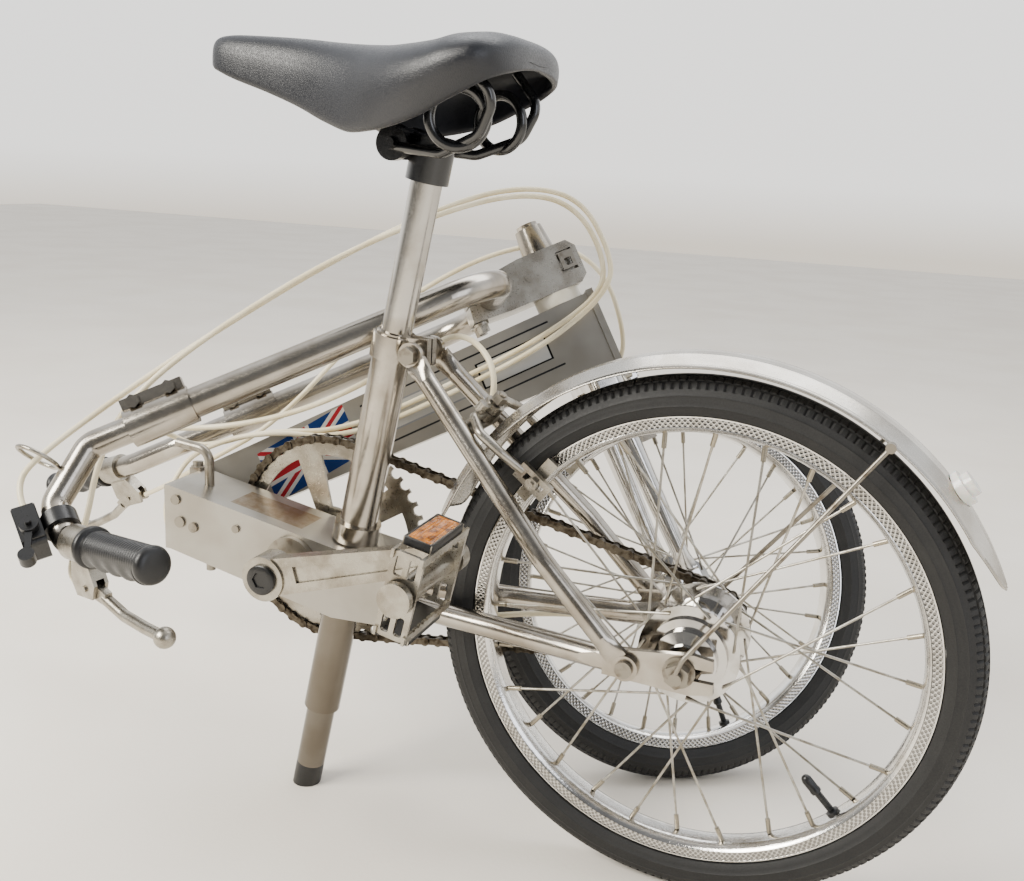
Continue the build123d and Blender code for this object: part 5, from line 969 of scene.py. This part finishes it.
GEAR_CABLE = Cable("cable_gear", "rear_frame", 1.725, (
    (-0.2322, -0.2054, 0.2839), (-0.2483, -0.1971, 0.2966), (-0.2448, -0.1830, 0.3173), (-0.2101, -0.1052, 0.3666),
    (-0.1539, -0.0564, 0.4173), (-0.0740, 0.0091, 0.4815), (0.0078, 0.0809, 0.5338), (0.0558, 0.1321, 0.5464),
    (0.0917, 0.1676, 0.5346), (0.1195, 0.1715, 0.4915), (0.1304, 0.1530, 0.4596), (0.0918, 0.1195, 0.4134),
    (0.0302, 0.1081, 0.3712), (-0.0845, 0.0485, 0.3054), (-0.1572, 0.0130, 0.3124), (-0.2220, 0.0022, 0.2880),
    (-0.2413, -0.0069, 0.2620), (-0.2353, -0.0349, 0.2360), (-0.2173, -0.0429, 0.2040), (-0.1693, -0.0289, 0.1980),
    (-0.0493, -0.0209, 0.1700), (0.0347, -0.0189, 0.1700), (0.1107, 0.0031, 0.1870), (0.2107, 0.0291, 0.1920),
    (0.2467, 0.0471, 0.2060), (0.2707, 0.0416, 0.2115)))
FRONT_BRAKE_CABLE = Cable("cable_front_brake", "handlebar", 0.746, (
    (-0.3463, 0.0782, 0.2031), (-0.3221, 0.0737, 0.2145), (-0.2570, 0.0615, 0.2555), (-0.1988, 0.1004, 0.2953),
    (-0.1207, 0.1404, 0.3968), (-0.0295, 0.1838, 0.4687), (0.0464, 0.2240, 0.4931), (0.0970, 0.2449, 0.4652),
    (0.1214, 0.2528, 0.3980), (0.1162, 0.2505, 0.3653), (0.1092, 0.2264, 0.3536), (0.1229, 0.2004, 0.3606)))


# ------------------------------------------------------------------ studio
@dataclass
class Studio:
    """Pale floor, soft lights and the camera."""

    position: Vector = field(default_factory=lambda: Vector((0.399715, -0.842896, 0.5665)))
    right: Vector = field(default_factory=lambda: Vector((0.9346, 0.3520, 0.0506)))
    up: Vector = field(default_factory=lambda: Vector((-0.1324, 0.2124, 0.9682)))
    back: Vector = field(default_factory=lambda: Vector((0.3301, -0.9116, 0.2451)))
    lens: float = 38.67

    def camera(self) -> None:
        """Creates the camera and makes it the scene's."""
        data = bpy.data.cameras.new("camera")
        data.lens = self.lens
        data.sensor_width = 36.0
        data.clip_start, data.clip_end = 0.02, 60.0
        camera = bpy.data.objects.new("camera", data)
        turn = Matrix((self.right, self.up, self.back)).transposed()
        camera.matrix_world = Matrix.Translation(self.position) @ turn.normalized().to_4x4()
        bpy.context.scene.collection.objects.link(camera)
        bpy.context.scene.camera = camera

    def floor(self) -> None:
        """A wide floor with the faint unevenness of matt paint."""
        span = np.linspace(-7, 7, 9)
        x, y = np.meshgrid(span, span, indexing="ij")
        finish = Finish("matt_floor", "#EDE6DA", "#E7DFD2", 0.0, (0.7, 0.85), 300.0, grain_mm=5.0,
                        grain_depth_mm=0.2)
        floor = surface("floor", np.stack([x, y, 0 * x - 0.0002], -1), (False, False), finish)

    def lamp(self, name: str, place: Vector, aim: Vector, size: tuple[float, float], watts: float,
             tint: str) -> None:
        """One rectangular soft light, turned to face its aim."""
        data = bpy.data.lights.new(name, "AREA")
        data.shape = "RECTANGLE"
        data.size, data.size_y = size
        data.energy = watts
        data.color = srgb(tint)[:3]
        lamp = bpy.data.objects.new(name, data)
        lamp.matrix_world = Matrix.Translation(place) @ (aim - place).to_track_quat("-Z", "Y").to_matrix().to_4x4()
        bpy.context.scene.collection.objects.link(lamp)

    def lights(self) -> None:
        """Window light from the upper left, a weak fill from the right and a strip from behind."""
        aim = Vector((0.0, 0.0, 0.25))
        self.lamp("window", Vector((-1.6, -1.9, 2.0)), aim, (1.7, 1.3), 175.0, "#FFFBF2")
        self.lamp("fill", Vector((2.3, -1.5, 1.2)), aim, (1.2, 1.6), 20.0, "#F1F5FF")
        self.lamp("overhead", Vector((0.2, 0.9, 2.3)), aim, (2.4, 0.9), 30.0, "#FFFFFF")

    def sky(self) -> None:
        """Room light: a pale wall ahead, a dimmer room behind, and warm below."""
        world = bpy.data.worlds.new("room")
        bpy.context.scene.world = world
        world.use_nodes = True
        tree = world.node_tree
        tree.nodes.clear()
        coords = add(tree, "ShaderNodeTexCoord")
        parts = add(tree, "ShaderNodeSeparateXYZ", {"Vector": coords.outputs["Generated"]})
        ramp = add(tree, "ShaderNodeValToRGB", {"Fac": add(tree, "ShaderNodeMapRange", {
            "Value": parts.outputs["Z"], "From Min": -1.0, "From Max": 1.0}).outputs["Result"]})
        stops = ramp.color_ramp.elements
        stops[0].position, stops[0].color = 0.0, srgb("#A89A88")
        stops[1].position, stops[1].color = 1.0, srgb("#FFFFFF")
        for place, tint in ((0.47, "#CFC6B8"), (0.497, "#F6F4F0"), (0.62, "#FBFAF8"), (0.8, "#D2D5DA")):
            stops.new(place).color = srgb(tint)
        ahead = add(tree, "ShaderNodeMapRange", {
            "Value": parts.outputs["Y"], "From Min": -0.45, "From Max": 0.1, "To Min": 0.3, "To Max": 1.9})
        back = add(tree, "ShaderNodeBackground", {
            "Color": ramp.outputs["Color"], "Strength": ahead.outputs["Result"]})
        add(tree, "ShaderNodeOutputWorld", {"Surface": back.outputs[0]})

    def build(self) -> None:
        """Sets up the whole studio."""
        self.camera()
        self.floor()
        self.lights()
        self.sky()


# ------------------------------------------------------------------ assembly
@dataclass
class FrontFrame:
    """The folded front half: its beam carries the plain transfer."""

    centre: Vector = field(default_factory=lambda: Vector(JOINTS["front_wheel_spin"]["pos_m"]))
    forward: Vector = field(default_factory=lambda: Vector((0.803409, 0.412753, 0.42915)))
    side: Vector = field(default_factory=lambda: Vector((-0.336799, 0.909381, -0.244116)))

    def build(self) -> None:
        """Dresses the front beam in its own terms."""
        up = self.forward.cross(self.side)
        turn = Matrix((self.forward, self.side, up)).transposed()
        place = Matrix.Translation(self.centre) @ turn.to_4x4()
        finish = StripedBeam("satin_beam_with_transfer", **BEAM_LOOK, place=place)
        dress(NODES["front_beam"], finish.make())


@dataclass
class RearFrame:
    """The rear beam with its rubbed patch."""

    def build(self) -> None:
        """Dresses the rear beam; the patch lies on its top face ahead of the sleeve."""
        low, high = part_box("rear_beam")
        finish = LabelledBeam("satin_beam_with_worn_patch", **BEAM_LOOK,
                              patch_at=(low.x + 0.096, (low.y + high.y) / 2, high.z - 0.016),
                              patch_half=(0.036, 0.017, 0.02))
        dress(NODES["rear_beam"], finish.make())


def main() -> None:
    """Builds the studio and every sub-assembly, in order."""
    logging.basicConfig(level=logging.INFO, format="%(name)s: %(message)s")
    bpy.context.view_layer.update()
    Studio().build()
    cables = (REAR_BRAKE_CABLE, GEAR_CABLE, FRONT_BRAKE_CABLE)
    for cable in cables:
        log.info("cable %s", cable.build().name)
    for wear in Wear:
        for part in wear.parts:
            dress(NODES[part], wear.finish.make())
    RearFrame().build()
    FrontFrame().build()
    REAR_WHEEL.build()
    FRONT_WHEEL.build()
    log.info("saddle %s", Saddle().build().name)
    blade = Mudguard().build()
    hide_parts("mudguard")
    grip = NEAR_GRIP.build()
    FAR_GRIP.build()
    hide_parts("grips")
    LEFT_REFLECTORS.build()
    RIGHT_REFLECTORS.build()
    CrankCap("left", -1).build()
    CrankCap("right", 1).build()


if __name__ == "__main__":
    main()
